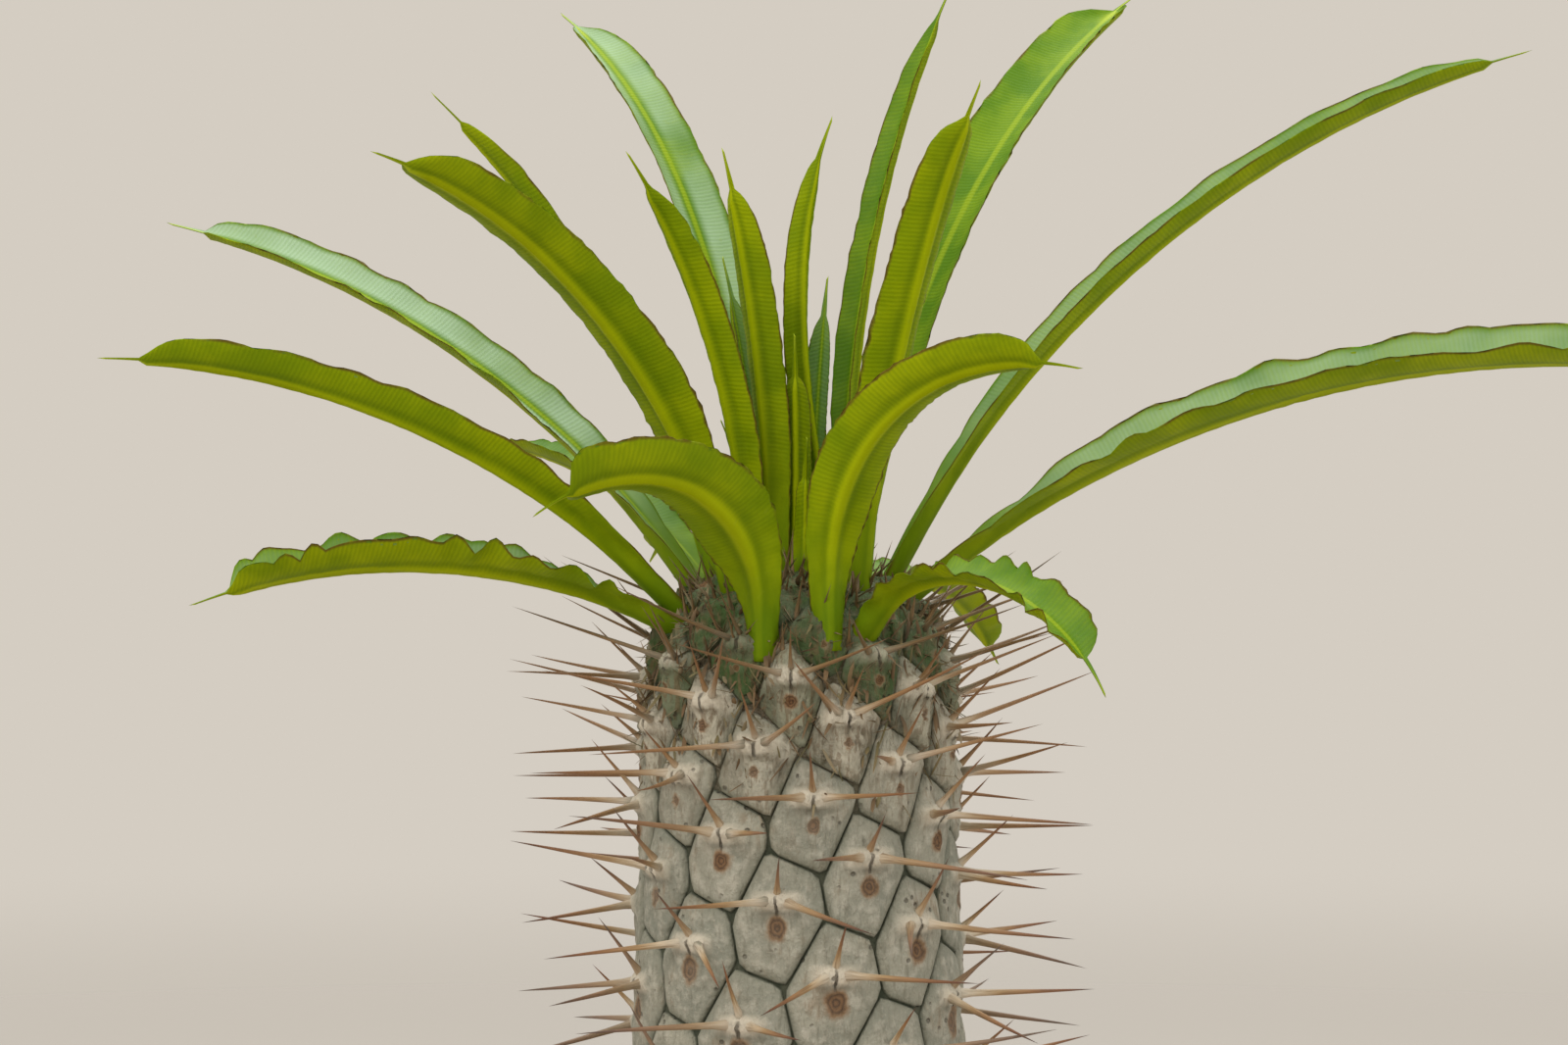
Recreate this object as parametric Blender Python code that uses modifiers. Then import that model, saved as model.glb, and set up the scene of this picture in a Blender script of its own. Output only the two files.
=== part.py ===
"""Madagascar palm in a plain clay pot.

A thick spiny stem carries a crown of narrow leaves. The stem is covered with raised plates in a golden-angle
spiral, each with a group of three spines. Metres, +Z up, and the origin is the middle of the pot's foot.
Azimuth 0 points to -Y, which is the front, and 90 points to +X.
"""

import math
import random

import bmesh
import bpy
import numpy as np
from mathutils import Vector

MM = 0.001
GAP = 0.3 * MM
SHARP_ANGLE = 35.0

# Pot
POT_HEIGHT = 150 * MM
POT_FOOT_RADIUS = 62 * MM
POT_TOP_RADIUS = 90 * MM
POT_WALL = 7 * MM
POT_FLOOR = 11 * MM
RIM_HEIGHT = 26 * MM
RIM_PROUD = 5 * MM
DRAIN_RADIUS = 6 * MM
DRAIN_RING_RADIUS = 36 * MM
DRAIN_COUNT = 4
DRAIN_SIDES = 12
POT_SIDES = 40

# Soil
SOIL_LEVEL = 135 * MM
SOIL_MOUND = 3.5 * MM
SOIL_TOP = SOIL_LEVEL + SOIL_MOUND

# Stem
APEX_Z = 361 * MM
STEM_RADIUS = 44 * MM
SHOULDER_DEPTH = 7.5 * MM
SHOULDER_POWER = 0.8
BASE_SWELL = 10 * MM
SWELL_START = 30 * MM
SWELL_POWER = 2.2
SOIL_DEPTH = APEX_Z - SOIL_LEVEL
ROOT_DEPTH = SOIL_DEPTH + 38 * MM
ROOT_RADIUS = 30 * MM
CORE_STEPS = 28

# Plates: the golden-angle spiral that they follow, older ones lower
GOLDEN_ANGLE = 137.508
SPIRAL_START = -3.0
YOUNG_PLATES = 30
YOUNG_SPREAD = 9.2 * MM
YOUNG_STEP = 0.2 * MM
PLATE_STEP = 1.225 * MM
PLATE_STEP_GROWTH = 0.0346 * MM
PLATE_STEP_MOST = 2.85 * MM
FIRST_PLATE = -26
LAST_PLATE_CLEAR = 4 * MM
LEAFY_PLATES = 50
PLATE_SQUASH = 0.67
GROOVE_DEPTH = 1.3 * MM
GROOVE_WIDTH = 1.8 * MM
SHORTEST_SIDE = 1.5 * MM
PLATE_SINK = 4.5 * MM

# Spines: three to a plate, above the leaf scar
FIRST_SPINED_PLATE = -15
SPINE_RISE = 4.0 * MM
SIDE_SPINE_LENGTH = 46 * MM
UPPER_SPINE_LENGTH = 20 * MM
SPINE_FOOT_RADIUS = 2.0 * MM
SPINE_SPREAD = 42.0
SPINE_CLEARANCE = 2.2 * MM
SPINE_SEED = 7

# Leaves
BLADE_THICKNESS = 0.7 * MM
PETIOLE_HALF_WIDTH = 4.6 * MM
FOOT_FOLD = 42.0
THREAD_RADIUS = 0.45 * MM
THREAD_LENGTH = 12 * MM
LEAF_ROOT = 7 * MM

# Each leaf: name, azimuth, distance of its foot from the axis, rise at the foot, rise at the tip, length,
# turn to the side, how late it bends, width, fold, roll about its midrib, height of the waves in its edge.
# Degrees and millimetres.
LEAVES = [
    ("leaf_01", -68, 37, 24, -20, 142, 0, 1.0, 22, 44, 4, 1.7),
    ("leaf_02", -75, 34, 45, 0, 181, 0, 1.0, 20, 38, -14, 0.4),
    ("leaf_03", -100, 28, 54, 13, 196, 0, 1.0, 20, 30, 24, 0.5),
    ("leaf_04", -47, 25, 71, 12, 177, 0, 1.0, 21, 24, -18, 0.3),
    ("leaf_05", -85, 22, 74, 44, 162, 0, 1.0, 17, 30, 0, 0.3),
    ("leaf_06", -45, 18, 86, 48, 128, 0, 1.0, 14, 27, 0, 0.3),
    ("leaf_07", -142, 20, 86, 28, 208, 0, 1.2, 21, 27, 0, 0.3),
    ("leaf_08", -38, 11, 88, 69, 120, 0, 1.0, 14, 27, 0, 0.2),
    ("leaf_09", -5, 6, 86, 80, 66, 0, 1.0, 10, 34, 0, 0.0),
    ("leaf_10", 95, 9, 100, 68, 130, 0, 2.0, 10, 34, 60, 0.2),
    ("leaf_11", 115, 14, 92, 64, 176, 0, 1.0, 14, 27, 0, 0.3),
    ("leaf_12", 42, 24, 80, 60, 146, 0, 1.0, 19, 24, 0, 0.2),
    ("leaf_13", 138, 23, 78, 28, 234, 0, 1.0, 27, 24, 0, 0.3),
    ("leaf_14", 12, 38, 92, -14, 126, 70, 1.0, 21, 27, 28, 0.3),
    ("leaf_15", 91, 24, 63, 15, 246, 0, 1.0, 18, 34, -12, 0.4),
    ("leaf_16", 76, 30, 39, -8, 232, 0, 1.0, 25, 40, -20, 0.9),
    ("leaf_17", 29, 38, 43, -65, 105, 32, 1.0, 19, 27, -10, 1.6),
    ("leaf_18", -15, 39, 80, -38, 106, -60, 1.0, 26, 24, -34, 0.3),
    ("leaf_19", -130, 30, 48, 2, 108, 0, 1.0, 17, 27, 0, 0.4),
    ("leaf_20", 178, 33, 20, -35, 150, 0, 1.0, 18, 30, 0, 0.8),
    ("leaf_21", -163, 29, 30, -25, 140, 0, 1.0, 18, 27, 8, 0.6),
    ("leaf_22", 158, 32, 16, -36, 150, 0, 1.0, 18, 30, -8, 0.8),
    ("leaf_23", 160, 10, 86, 74, 86, 0, 1.0, 9, 34, 0, 0.0),
    ("leaf_24", -128, 12, 86, 74, 92, 0, 1.0, 9, 34, 0, 0.0),
]


def clear_scene():
    for obj in list(bpy.data.objects):
        bpy.data.objects.remove(obj)


def make_material(name, colour, roughness):
    material = bpy.data.materials.new(name)
    material.use_nodes = True
    shader = material.node_tree.nodes["Principled BSDF"]
    shader.inputs["Base Color"].default_value = (*colour, 1.0)
    shader.inputs["Roughness"].default_value = roughness
    shader.inputs["Metallic"].default_value = 0.0
    return material


def new_object(name, mesh, collection, material=None):
    obj = bpy.data.objects.new(name, mesh)
    collection.objects.link(obj)
    if material:
        mesh.materials.append(material)
    return obj


def mesh_from(bm, name):
    bmesh.ops.recalc_face_normals(bm, faces=bm.faces)
    mesh = bpy.data.meshes.new(name)
    bm.to_mesh(mesh)
    bm.free()
    return mesh


class Meridian:
    """The stem's outline from the growing tip down, read by the distance along it."""

    SAMPLES = 1200

    def __init__(self):
        self.depth = SOIL_DEPTH * 1.3 * np.linspace(0.0, 1.0, self.SAMPLES) ** 2
        self.radius = stem_radius(self.depth)
        steps = np.hypot(np.diff(self.radius), np.diff(self.depth))
        self.along = np.concatenate([[0.0], np.cumsum(steps)])

    def at_depth(self, depth):
        return float(np.interp(depth, self.depth, self.along))

    def point(self, along):
        """(radius, height, outward normal as its radius and height parts)"""
        reach = 0.5 * MM
        along = min(max(along, reach), self.along[-1] - reach)
        radius, depth = (float(np.interp(along, self.along, a)) for a in (self.radius, self.depth))
        r0, d0 = (float(np.interp(along - reach, self.along, a)) for a in (self.radius, self.depth))
        r1, d1 = (float(np.interp(along + reach, self.along, a)) for a in (self.radius, self.depth))
        run = math.hypot(r1 - r0, d1 - d0)
        return radius, APEX_Z - depth, (d1 - d0) / run, (r1 - r0) / run


def stem_radius(depth):
    shoulder = 1.0 - np.exp(-((np.maximum(depth, 0.0) / SHOULDER_DEPTH) ** SHOULDER_POWER))
    swell = np.maximum((depth - SWELL_START) / (SOIL_DEPTH - SWELL_START), 0.0) ** SWELL_POWER
    return STEM_RADIUS * shoulder + BASE_SWELL * swell


def spine_row_along(index, meridian):
    """Distance from the growing tip to a plate's spines. Plates with a number below 0 are the crown's."""
    age = min(index, 0) + YOUNG_PLATES
    along = YOUNG_SPREAD * math.sqrt(age) + YOUNG_STEP * age
    if index <= 0:
        return along
    depth = float(np.interp(along, meridian.along, meridian.depth))
    for step in range(index):
        depth += min(PLATE_STEP + PLATE_STEP_GROWTH * step, PLATE_STEP_MOST)
    return meridian.at_depth(depth)


def plate_azimuth(index):
    return (SPIRAL_START + index * GOLDEN_ANGLE + 180.0) % 360.0 - 180.0


class Plate:
    def __init__(self, index, meridian):
        self.index = index
        self.azimuth = math.radians(plate_azimuth(index))
        self.along = spine_row_along(index, meridian)
        self.radius = meridian.point(self.along)[0]
        self.size = min(1.0, self.radius / STEM_RADIUS)
        self.along += SPINE_RISE * self.size
        self.meridian = meridian

    def wrap(self, across, down, height):
        """The point that far across, down and out from the plate's middle, on the stem."""
        radius, z, normal_r, normal_z = self.meridian.point(self.along + down)
        angle = self.azimuth + across / self.radius
        reach = radius + height * normal_r
        return Vector((reach * math.sin(angle), -reach * math.cos(angle), z + height * normal_z))


def spiral_plates(meridian):
    plates = []
    index = FIRST_PLATE
    while spine_row_along(index, meridian) < meridian.at_depth(APEX_Z - SOIL_TOP) - LAST_PLATE_CLEAR:
        plates.append(Plate(index, meridian))
        index += 1
    return plates


def clip(polygon, normal, limit):
    """The part of a polygon on the near side of a line."""
    kept = []
    for here, there in zip(polygon, polygon[1:] + polygon[:1]):
        side_here = here[0] * normal[0] + here[1] * normal[1] - limit
        side_there = there[0] * normal[0] + there[1] * normal[1] - limit
        if side_here <= 0:
            kept.append(here)
        if side_here * side_there < 0:
            share = side_here / (side_here - side_there)
            kept.append(tuple(a + share * (b - a) for a, b in zip(here, there)))
    return kept


def plate_outline(plate, plates):
    """The plate's cell, nearer to it than to any neighbour. Old cells come out tall, by pressed heights."""
    age = min(1.0, max(0.0, (plate.index + YOUNG_PLATES) / YOUNG_PLATES))
    squash = 1.0 + (PLATE_SQUASH - 1.0) * age
    half = 24 * MM
    cell = [(-half, -half), (half, -half), (half, half), (-half, half)]
    for other in plates:
        if other is plate:
            continue
        turn = (other.azimuth - plate.azimuth + math.pi) % (2 * math.pi) - math.pi
        away = (turn * plate.radius, (other.along - plate.along) * squash)
        distance = math.hypot(*away)
        if distance < 2 * half:
            cell = clip(cell, (away[0] / distance, away[1] / distance), distance / 2 - GROOVE_WIDTH / 2)
    to_soil = plate.meridian.at_depth(APEX_Z - SOIL_TOP) - plate.along
    cell = clip(cell, (0.0, 1.0), (to_soil - GROOVE_WIDTH / 2) * squash)
    sides = zip(cell, cell[1:] + cell[:1])
    return [(here[0], here[1] / squash) for here, there in sides if math.dist(here, there) > SHORTEST_SIDE]


def boss_height(index):
    """How far the spine-bearing boss stands out: most on the young plates."""
    return (4.2 - 1.8 * min(max(index + 10, 0), 60) / 60) * MM


def plate_block(plate, plates, grow):
    """A raised plate with a boss, as a closed block sunk in the stem, made larger all over by grow."""
    outline = plate_outline(plate, plates)
    spread = 1.0 + grow / (6 * MM)
    bm = bmesh.new()
    corners = [bm.verts.new((across * spread, down * spread, -PLATE_SINK)) for across, down in outline]
    foot = bm.faces.new(corners)
    side = bmesh.ops.extrude_face_region(bm, geom=[foot])
    top = next(f for f in side["geom"] if isinstance(f, bmesh.types.BMFace))
    for vert in top.verts:
        vert.co.z = grow - 0.25 * GROOVE_DEPTH
        vert.co.x *= 0.93
        vert.co.y *= 0.93
    peak = bmesh.ops.poke(bm, faces=[top])["verts"][0]
    peak.co = (0.0, -SPINE_RISE * plate.size, boss_height(plate.index) * plate.size + grow)
    for vert in bm.verts:
        vert.co = plate.wrap(vert.co.x, vert.co.y, vert.co.z)
    return mesh_from(bm, f"plate_{plate.index}")


def core_profile(grow):
    """Outline of the stem under its plates, from the growing tip to the bottom of the root stub."""
    depths = [1.5, 4, 8, 14, 22, 34, 50, 75, 105, 140, 175, 205]
    points = [(0.0, APEX_Z - GROOVE_DEPTH + grow)]
    for depth in [d * MM for d in depths]:
        points.append((float(stem_radius(depth)) - GROOVE_DEPTH + grow, APEX_Z - depth))
    foot_radius = float(stem_radius(APEX_Z - SOIL_TOP)) - GROOVE_DEPTH + grow
    points.append((foot_radius, SOIL_TOP))
    points.append((foot_radius - 2 * MM, SOIL_TOP - 12 * MM))
    points.append((ROOT_RADIUS + grow, APEX_Z - ROOT_DEPTH - grow))
    points.append((0.0, APEX_Z - ROOT_DEPTH - grow))
    return points


def turned(name, profile, steps, collection, material=None, closed=False):
    """A solid turned about +Z from a profile that runs down its outer side."""
    mesh = bpy.data.meshes.new(name)
    count = len(profile)
    edges = [(i, i + 1) for i in range(count - 1)] + ([(count - 1, 0)] if closed else [])
    mesh.from_pydata([(r, 0.0, z) for r, z in profile], edges, [])
    obj = new_object(name, mesh, collection, material)
    screw = obj.modifiers.new("turn", "SCREW")
    screw.steps = screw.render_steps = steps
    screw.use_merge_vertices = True
    screw.merge_threshold = 0.0001
    screw.use_smooth_shade = False
    return obj


def applied(obj):
    """The object's evaluated mesh, with its modifiers in it."""
    bpy.context.view_layer.update()
    graph = bpy.context.evaluated_depsgraph_get()
    return bpy.data.meshes.new_from_object(obj.evaluated_get(graph), depsgraph=graph)


def shade_round(obj):
    """Puts the modifiers into the mesh and shades it smooth, apart from its sharp edges."""
    obj.data = applied(obj)
    obj.modifiers.clear()
    obj.data.shade_smooth()
    obj.data.set_sharp_from_angle(angle=math.radians(SHARP_ANGLE))


def remove(objects):
    for obj in list(objects):
        bpy.data.objects.remove(obj)


def fuse(obj, others):
    """Joins every object of a collection to obj in one Boolean union, and removes them."""
    union = obj.modifiers.new("fuse", "BOOLEAN")
    union.operation = "UNION"
    union.solver = "EXACT"
    union.operand_type = "COLLECTION"
    union.collection = others
    mesh = applied(obj)
    obj.modifiers.clear()
    obj.data = mesh
    remove(others.objects)


def spine(name, start, direction, length, collection):
    """A three-sided spine, drawn to a point."""
    bm = bmesh.new()
    foot = SPINE_FOOT_RADIUS
    bmesh.ops.create_cone(bm, cap_ends=True, segments=3, radius1=foot, radius2=0.0, depth=length)
    turn = direction.to_track_quat("Z", "Y").to_matrix().to_4x4()
    turn.translation = start + direction * length / 2
    bm.transform(turn)
    return new_object(name, mesh_from(bm, name), collection)


def plate_spines(plate, rng):
    """Start, direction and length of the plate's spines: one to each side and a shorter one above."""
    size = min(1.0, plate.radius / STEM_RADIUS + 0.1)
    out = plate.wrap(0, -SPINE_RISE, 10 * MM) - plate.wrap(0, -SPINE_RISE, 0)
    out.normalize()
    right = Vector((math.cos(plate.azimuth), math.sin(plate.azimuth), 0.0))
    level = Vector((math.sin(plate.azimuth), -math.cos(plate.azimuth), 0.0))
    height = boss_height(plate.index) * size
    lift = 26.0 * math.exp(-max(plate.index + 4, 0) / 18.0) - 3.0
    found = []
    for side in (-1, 1):
        spread = math.radians(SPINE_SPREAD + rng.uniform(-7, 7))
        rise = math.radians(lift + rng.uniform(-11, 11))
        flat = level * math.cos(spread) + right * side * math.sin(spread)
        direction = flat * math.cos(rise) + Vector((0, 0, math.sin(rise)))
        start = plate.wrap(side * 1.6 * MM, -SPINE_RISE * size, height - 2.6 * MM)
        found.append((start, direction, SIDE_SPINE_LENGTH * size * rng.uniform(0.86, 1.08)))
    rise = math.radians(46 + rng.uniform(-8, 8))
    direction = level * math.cos(rise) + right * rng.uniform(-0.12, 0.12) + Vector((0, 0, math.sin(rise)))
    start = plate.wrap(0.0, (-SPINE_RISE - 1.2 * MM) * size, height - 2.6 * MM)
    found.append((start, direction.normalized(), UPPER_SPINE_LENGTH * size * rng.uniform(0.85, 1.15)))
    return found


def crosses_leaf(start, direction, length, midribs):
    for share in np.linspace(0.0, 1.0, 12):
        point = np.array(start + direction * length * float(share))
        for points, reach in midribs:
            if (np.linalg.norm(points - point, axis=1) < reach + SPINE_CLEARANCE).any():
                return True
    return False


def make_stem(collection, material, plates, midribs):
    parts = bpy.data.collections.new("stem_parts")
    bpy.context.scene.collection.children.link(parts)
    rng = random.Random(SPINE_SEED)
    for plate in plates:
        new_object(f"plate_{plate.index}", plate_block(plate, plates, 0.0), parts)
        spines = plate_spines(plate, rng)
        if plate.index < FIRST_SPINED_PLATE:
            continue
        for number, (start, direction, length) in enumerate(spines):
            over_pot = min(start.z, start.z + direction.z * length) > POT_HEIGHT + 3 * MM
            if over_pot and not crosses_leaf(start, direction, length, midribs):
                spine(f"spine_{plate.index}_{number}", start, direction, length, parts)
    stem = turned("stem", core_profile(0.0), CORE_STEPS, collection)
    fuse(stem, parts)
    bpy.data.collections.remove(parts)
    stem.data.materials.append(material)
    return stem


def make_stem_cutter(collection, plates):
    """The stem and its plates a gap larger all over, to seat the leaves against."""
    parts = bpy.data.collections.new("cutter_parts")
    bpy.context.scene.collection.children.link(parts)
    for plate in plates:
        new_object(f"cutter_{plate.index}", plate_block(plate, plates, GAP), parts)
    cutter = turned("stem_cutter", core_profile(GAP), CORE_STEPS, collection)
    fuse(cutter, parts)
    bpy.data.collections.remove(parts)
    cutter.hide_render = True
    cutter.display_type = "WIRE"
    return cutter


def cut(obj, cutter):
    difference = obj.modifiers.new("seat", "BOOLEAN")
    difference.operation = "DIFFERENCE"
    difference.solver = "EXACT"
    difference.object = cutter


class Leaf:
    """A leaf's midrib, and the blade's section along it."""

    STEPS = 60

    def __init__(self, name, azimuth, seat, rise, droop, length, turn, bend, width, fold, roll, wave):
        self.name = name
        self.length = length * MM
        self.half_width = width * MM / 2
        self.thread = 1.0 - THREAD_LENGTH / self.length
        self.blunt = 0.60 + 0.012 * (width - 14)
        self.wave = wave * MM
        self.fold = fold
        self.roll = math.radians(roll)
        self.turn = turn
        self.azimuth = math.radians(azimuth)
        depth = float(np.interp(seat * MM, STEM_OUTLINE.radius, STEM_OUTLINE.depth))
        outward = Vector((math.sin(self.azimuth), -math.cos(self.azimuth), 0.0))
        start = outward * seat * MM + Vector((0.0, 0.0, APEX_Z - depth))
        root = LEAF_ROOT / self.length
        self.shares = np.linspace(-root, 1.0, self.STEPS)
        self.points, self.ways = [], []
        step = (1.0 + root) / (self.STEPS - 1) * self.length
        place = start - self.way(0.0, rise, droop, turn, bend) * LEAF_ROOT
        for share in self.shares:
            way = self.way(max(share, 0.0), rise, droop, turn, bend)
            self.points.append(np.array(place))
            self.ways.append(way)
            place = place + way * step

    def way(self, share, rise, droop, turn, bend):
        pitch = math.radians(rise + (droop - rise) * share**bend)
        heading = self.azimuth + math.radians(turn) * share
        return Vector((
            math.cos(pitch) * math.sin(heading), -math.cos(pitch) * math.cos(heading), math.sin(pitch)
        ))

    def frame(self, share):
        """The midrib's point at that share of the length, and the ways across and up from it."""
        at = (share - self.shares[0]) / (self.shares[-1] - self.shares[0]) * (self.STEPS - 1)
        low = min(int(at), self.STEPS - 2)
        point = Vector(self.points[low]).lerp(Vector(self.points[low + 1]), at - low)
        way = self.ways[low].lerp(self.ways[low + 1], at - low).normalized()
        heading = self.azimuth + math.radians(self.turn) * max(0.0, share)
        across = Vector((-math.cos(heading), -math.sin(heading), 0.0))
        across = (across - way * across.dot(way)).normalized()
        up = across.cross(way)
        turn = self.roll * min(1.0, max(0.0, share) * 4)
        rolled = across * math.cos(turn) + up * math.sin(turn)
        return point, rolled, rolled.cross(way)

    def half(self, share):
        """Half the blade's width, measured along the blade."""
        grow = smooth(share / 0.38)
        width = PETIOLE_HALF_WIDTH * (1 - grow) + self.half_width * grow
        tip = max(0.0, (share - self.blunt) / (self.thread - self.blunt))
        if tip >= 1.0:
            return THREAD_RADIUS
        return max(THREAD_RADIUS, width * (1 - tip**3.2) ** 0.55)

    def section(self, share):
        """Eight corners round the leaf: edges and middle above, and edges, shoulders and keel below."""
        half = self.half(share)
        grow = smooth(share / 0.5)
        fold = math.radians(FOOT_FOLD + (self.fold - FOOT_FOLD) * grow)
        rib = 1.0 - smooth((share - 0.1) / 0.85)
        keel = min((0.9 + 1.7 * rib) * MM, 0.9 * MM + half * 0.6)
        shoulder = min((0.8 + 1.0 * rib) * MM, half * 0.6)
        step = shoulder * math.tan(fold) * 0.8
        ripple = self.wave * math.sin(share * 15 * math.pi) * smooth(share / 0.2)
        thick = BLADE_THICKNESS
        corners = []
        for side in (-1, 1):
            lift = ripple * (1.0 if side > 0 else -0.8) if half > 2 * MM else 0.0
            edge = (half * math.cos(fold) * side, half * math.sin(fold) + lift)
            below = (edge[0] + thick * math.sin(fold) * side, edge[1] - thick * math.cos(fold))
            corners.append((edge, ((shoulder + 0.3 * thick) * side, step - 1.15 * thick), below))
        left, right = corners
        return [left[0], (0.0, 0.0), right[0], right[2], right[1], (0.0, -keel), left[1], left[2]]


def smooth(value):
    value = min(1.0, max(0.0, value))
    return value * value * (3 - 2 * value)


def leaf_stations(leaf):
    """Where the loft has its sections, closer together on the two crinkled leaves and near the tip."""
    steps = 20 if leaf.wave > 1.5 * MM else 6
    blade = [0.08 + (leaf.blunt + 0.06 - 0.08) * step / steps for step in range(steps + 1)]
    tip = [leaf.blunt + (leaf.thread - leaf.blunt) * step for step in (0.5, 0.75, 0.9, 1.0)]
    return [leaf.shares[0], 0.03, *blade, *tip, 1.0]


def leaf_mesh(leaf):
    """A thin solid lofted along the midrib, with a keel below and a thread at the tip."""
    bm = bmesh.new()
    rings = []
    for share in leaf_stations(leaf):
        point, across, up = leaf.frame(share)
        rings.append([bm.verts.new(point + across * x + up * y) for x, y in leaf.section(share)])
    for near, far in zip(rings, rings[1:]):
        for i in range(len(near)):
            j = (i + 1) % len(near)
            if i < 2:
                bm.faces.new((near[i], near[j], far[j]))
                bm.faces.new((near[i], far[j], far[i]))
            else:
                bm.faces.new((near[i], near[j], far[i]))
                bm.faces.new((near[j], far[j], far[i]))
    for left, middle, right, under_right, side_right, keel, side_left, under_left in (rings[0], rings[-1]):
        for corners in (
            (left, middle, side_left, under_left),
            (right, middle, side_right, under_right),
            (middle, side_left, keel, side_right),
        ):
            bm.faces.new(corners)
    bmesh.ops.triangulate(bm, faces=[f for f in bm.faces if len(f.verts) > 3])
    return mesh_from(bm, leaf.name)


def make_leaves(collection, material, leaves, cutter):
    for leaf in leaves:
        obj = new_object(leaf.name, leaf_mesh(leaf), collection, material)
        cut(obj, cutter)


def leaf_midribs(leaves):
    """Points along each leaf with how far its blade reaches there, for keeping the spines clear."""
    found = []
    for leaf in leaves:
        for share, point in zip(leaf.shares[::2], leaf.points[::2]):
            if share > 0.01:
                found.append((point[None, :], leaf.half(float(share)) * 0.9))
    return found


def pot_inside(z):
    """The pot's inner radius at a height."""
    rise = (z - POT_FLOOR) / (POT_HEIGHT - POT_FLOOR)
    return POT_FOOT_RADIUS - POT_WALL + (POT_TOP_RADIUS - POT_FOOT_RADIUS) * rise


def make_pot(collection, material):
    outer_rim = POT_TOP_RADIUS + RIM_PROUD
    rim_foot = POT_HEIGHT - RIM_HEIGHT
    slope = (POT_TOP_RADIUS - POT_FOOT_RADIUS) / POT_HEIGHT
    profile = [
        (POT_TOP_RADIUS - POT_WALL + 2.5 * MM, POT_HEIGHT),
        (outer_rim - 2 * MM, POT_HEIGHT),
        (outer_rim, POT_HEIGHT - 2 * MM),
        (outer_rim - 1 * MM, rim_foot + 2 * MM),
        (outer_rim - 3 * MM, rim_foot),
        (POT_FOOT_RADIUS + slope * rim_foot, rim_foot),
        (POT_FOOT_RADIUS + slope * 2 * MM, 2 * MM),
        (POT_FOOT_RADIUS - 2 * MM, 0.0),
        (0.0, 0.0),
    ]
    inside = [
        (0.0, POT_FLOOR),
        (pot_inside(POT_FLOOR), POT_FLOOR),
        (pot_inside(POT_HEIGHT - 2.5 * MM), POT_HEIGHT - 2.5 * MM),
    ]
    pot = turned("pot", profile + inside, POT_SIDES, collection, material, closed=True)
    for number in range(DRAIN_COUNT):
        angle = math.radians(45 + 360 / DRAIN_COUNT * number)
        bm = bmesh.new()
        bmesh.ops.create_cone(
            bm,
            cap_ends=True,
            segments=DRAIN_SIDES,
            radius1=DRAIN_RADIUS,
            radius2=DRAIN_RADIUS,
            depth=3 * POT_FLOOR,
        )
        hole = new_object(f"drain_{number}", mesh_from(bm, f"drain_{number}"), CUTTERS)
        hole.location = (DRAIN_RING_RADIUS * math.sin(angle), DRAIN_RING_RADIUS * math.cos(angle), 0.0)
        hole.hide_render = True
        hole.display_type = "WIRE"
        cut(pot, hole)
    return pot


def make_soil(collection, material):
    """The soil fills the pot, and rises a little round the stem, which stands in a plain hole."""
    side_gap = GAP + 0.1 * MM
    edge = SOIL_LEVEL - 2 * MM
    profile = [
        (0.0, SOIL_TOP),
        (60 * MM, SOIL_TOP),
        (70 * MM, SOIL_LEVEL + 0.6 * SOIL_MOUND),
        (pot_inside(edge) - side_gap, edge),
        (pot_inside(POT_FLOOR + GAP) - side_gap, POT_FLOOR + GAP),
        (0.0, POT_FLOOR + GAP),
    ]
    hole = turned("root_hole", core_profile(GAP), CORE_STEPS, CUTTERS)
    hole.hide_render = True
    hole.display_type = "WIRE"
    soil = turned("soil", profile, POT_SIDES, collection, material)
    cut(soil, hole)
    return soil


clear_scene()
STEM_OUTLINE = Meridian()
PALM = bpy.data.collections.new("madagascar_palm")
CUTTERS = bpy.data.collections.new("cutters")
bpy.context.scene.collection.children.link(PALM)
bpy.context.scene.collection.children.link(CUTTERS)

bark = make_material("bark", (0.42, 0.40, 0.34), 0.75)
leaf_green = make_material("leaf_green", (0.20, 0.36, 0.03), 0.40)
clay = make_material("clay", (0.48, 0.22, 0.12), 0.80)
earth = make_material("earth", (0.12, 0.09, 0.06), 0.95)

all_plates = spiral_plates(STEM_OUTLINE)
all_leaves = [Leaf(*row) for row in LEAVES]
stem_cutter = make_stem_cutter(CUTTERS, all_plates[:LEAFY_PLATES])
make_stem(PALM, bark, all_plates, leaf_midribs(all_leaves))
make_leaves(PALM, leaf_green, all_leaves, stem_cutter)
make_soil(PALM, earth)
make_pot(PALM, clay)
for piece in PALM.objects:
    shade_round(piece)
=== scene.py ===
"""Looks of the madagascar palm: bark plates, spines, leaves, the crown's litter, soil and clay pot.

Metres, +Z up. Azimuth 0 points to -Y, which is the front, and 90 points to +X.
"""

import math
import random

import bpy
import numpy as np
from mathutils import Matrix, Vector


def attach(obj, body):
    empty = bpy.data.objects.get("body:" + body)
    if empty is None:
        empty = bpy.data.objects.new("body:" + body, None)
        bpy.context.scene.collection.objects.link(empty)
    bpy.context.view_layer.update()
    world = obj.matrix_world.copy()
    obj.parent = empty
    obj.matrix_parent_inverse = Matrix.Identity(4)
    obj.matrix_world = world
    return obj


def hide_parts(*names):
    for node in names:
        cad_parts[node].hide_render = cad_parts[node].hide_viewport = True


MM = 0.001

# Camera: where the photograph was taken from
PHOTO_WIDTH, PHOTO_HEIGHT = 1600, 1066
PIXEL = 0.2775 * MM
STEM_MIDDLE_PIXEL = 815
BOTTOM_Z = 225 * MM
CAMERA_DISTANCE = 1.1
SENSOR = 36.0

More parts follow.
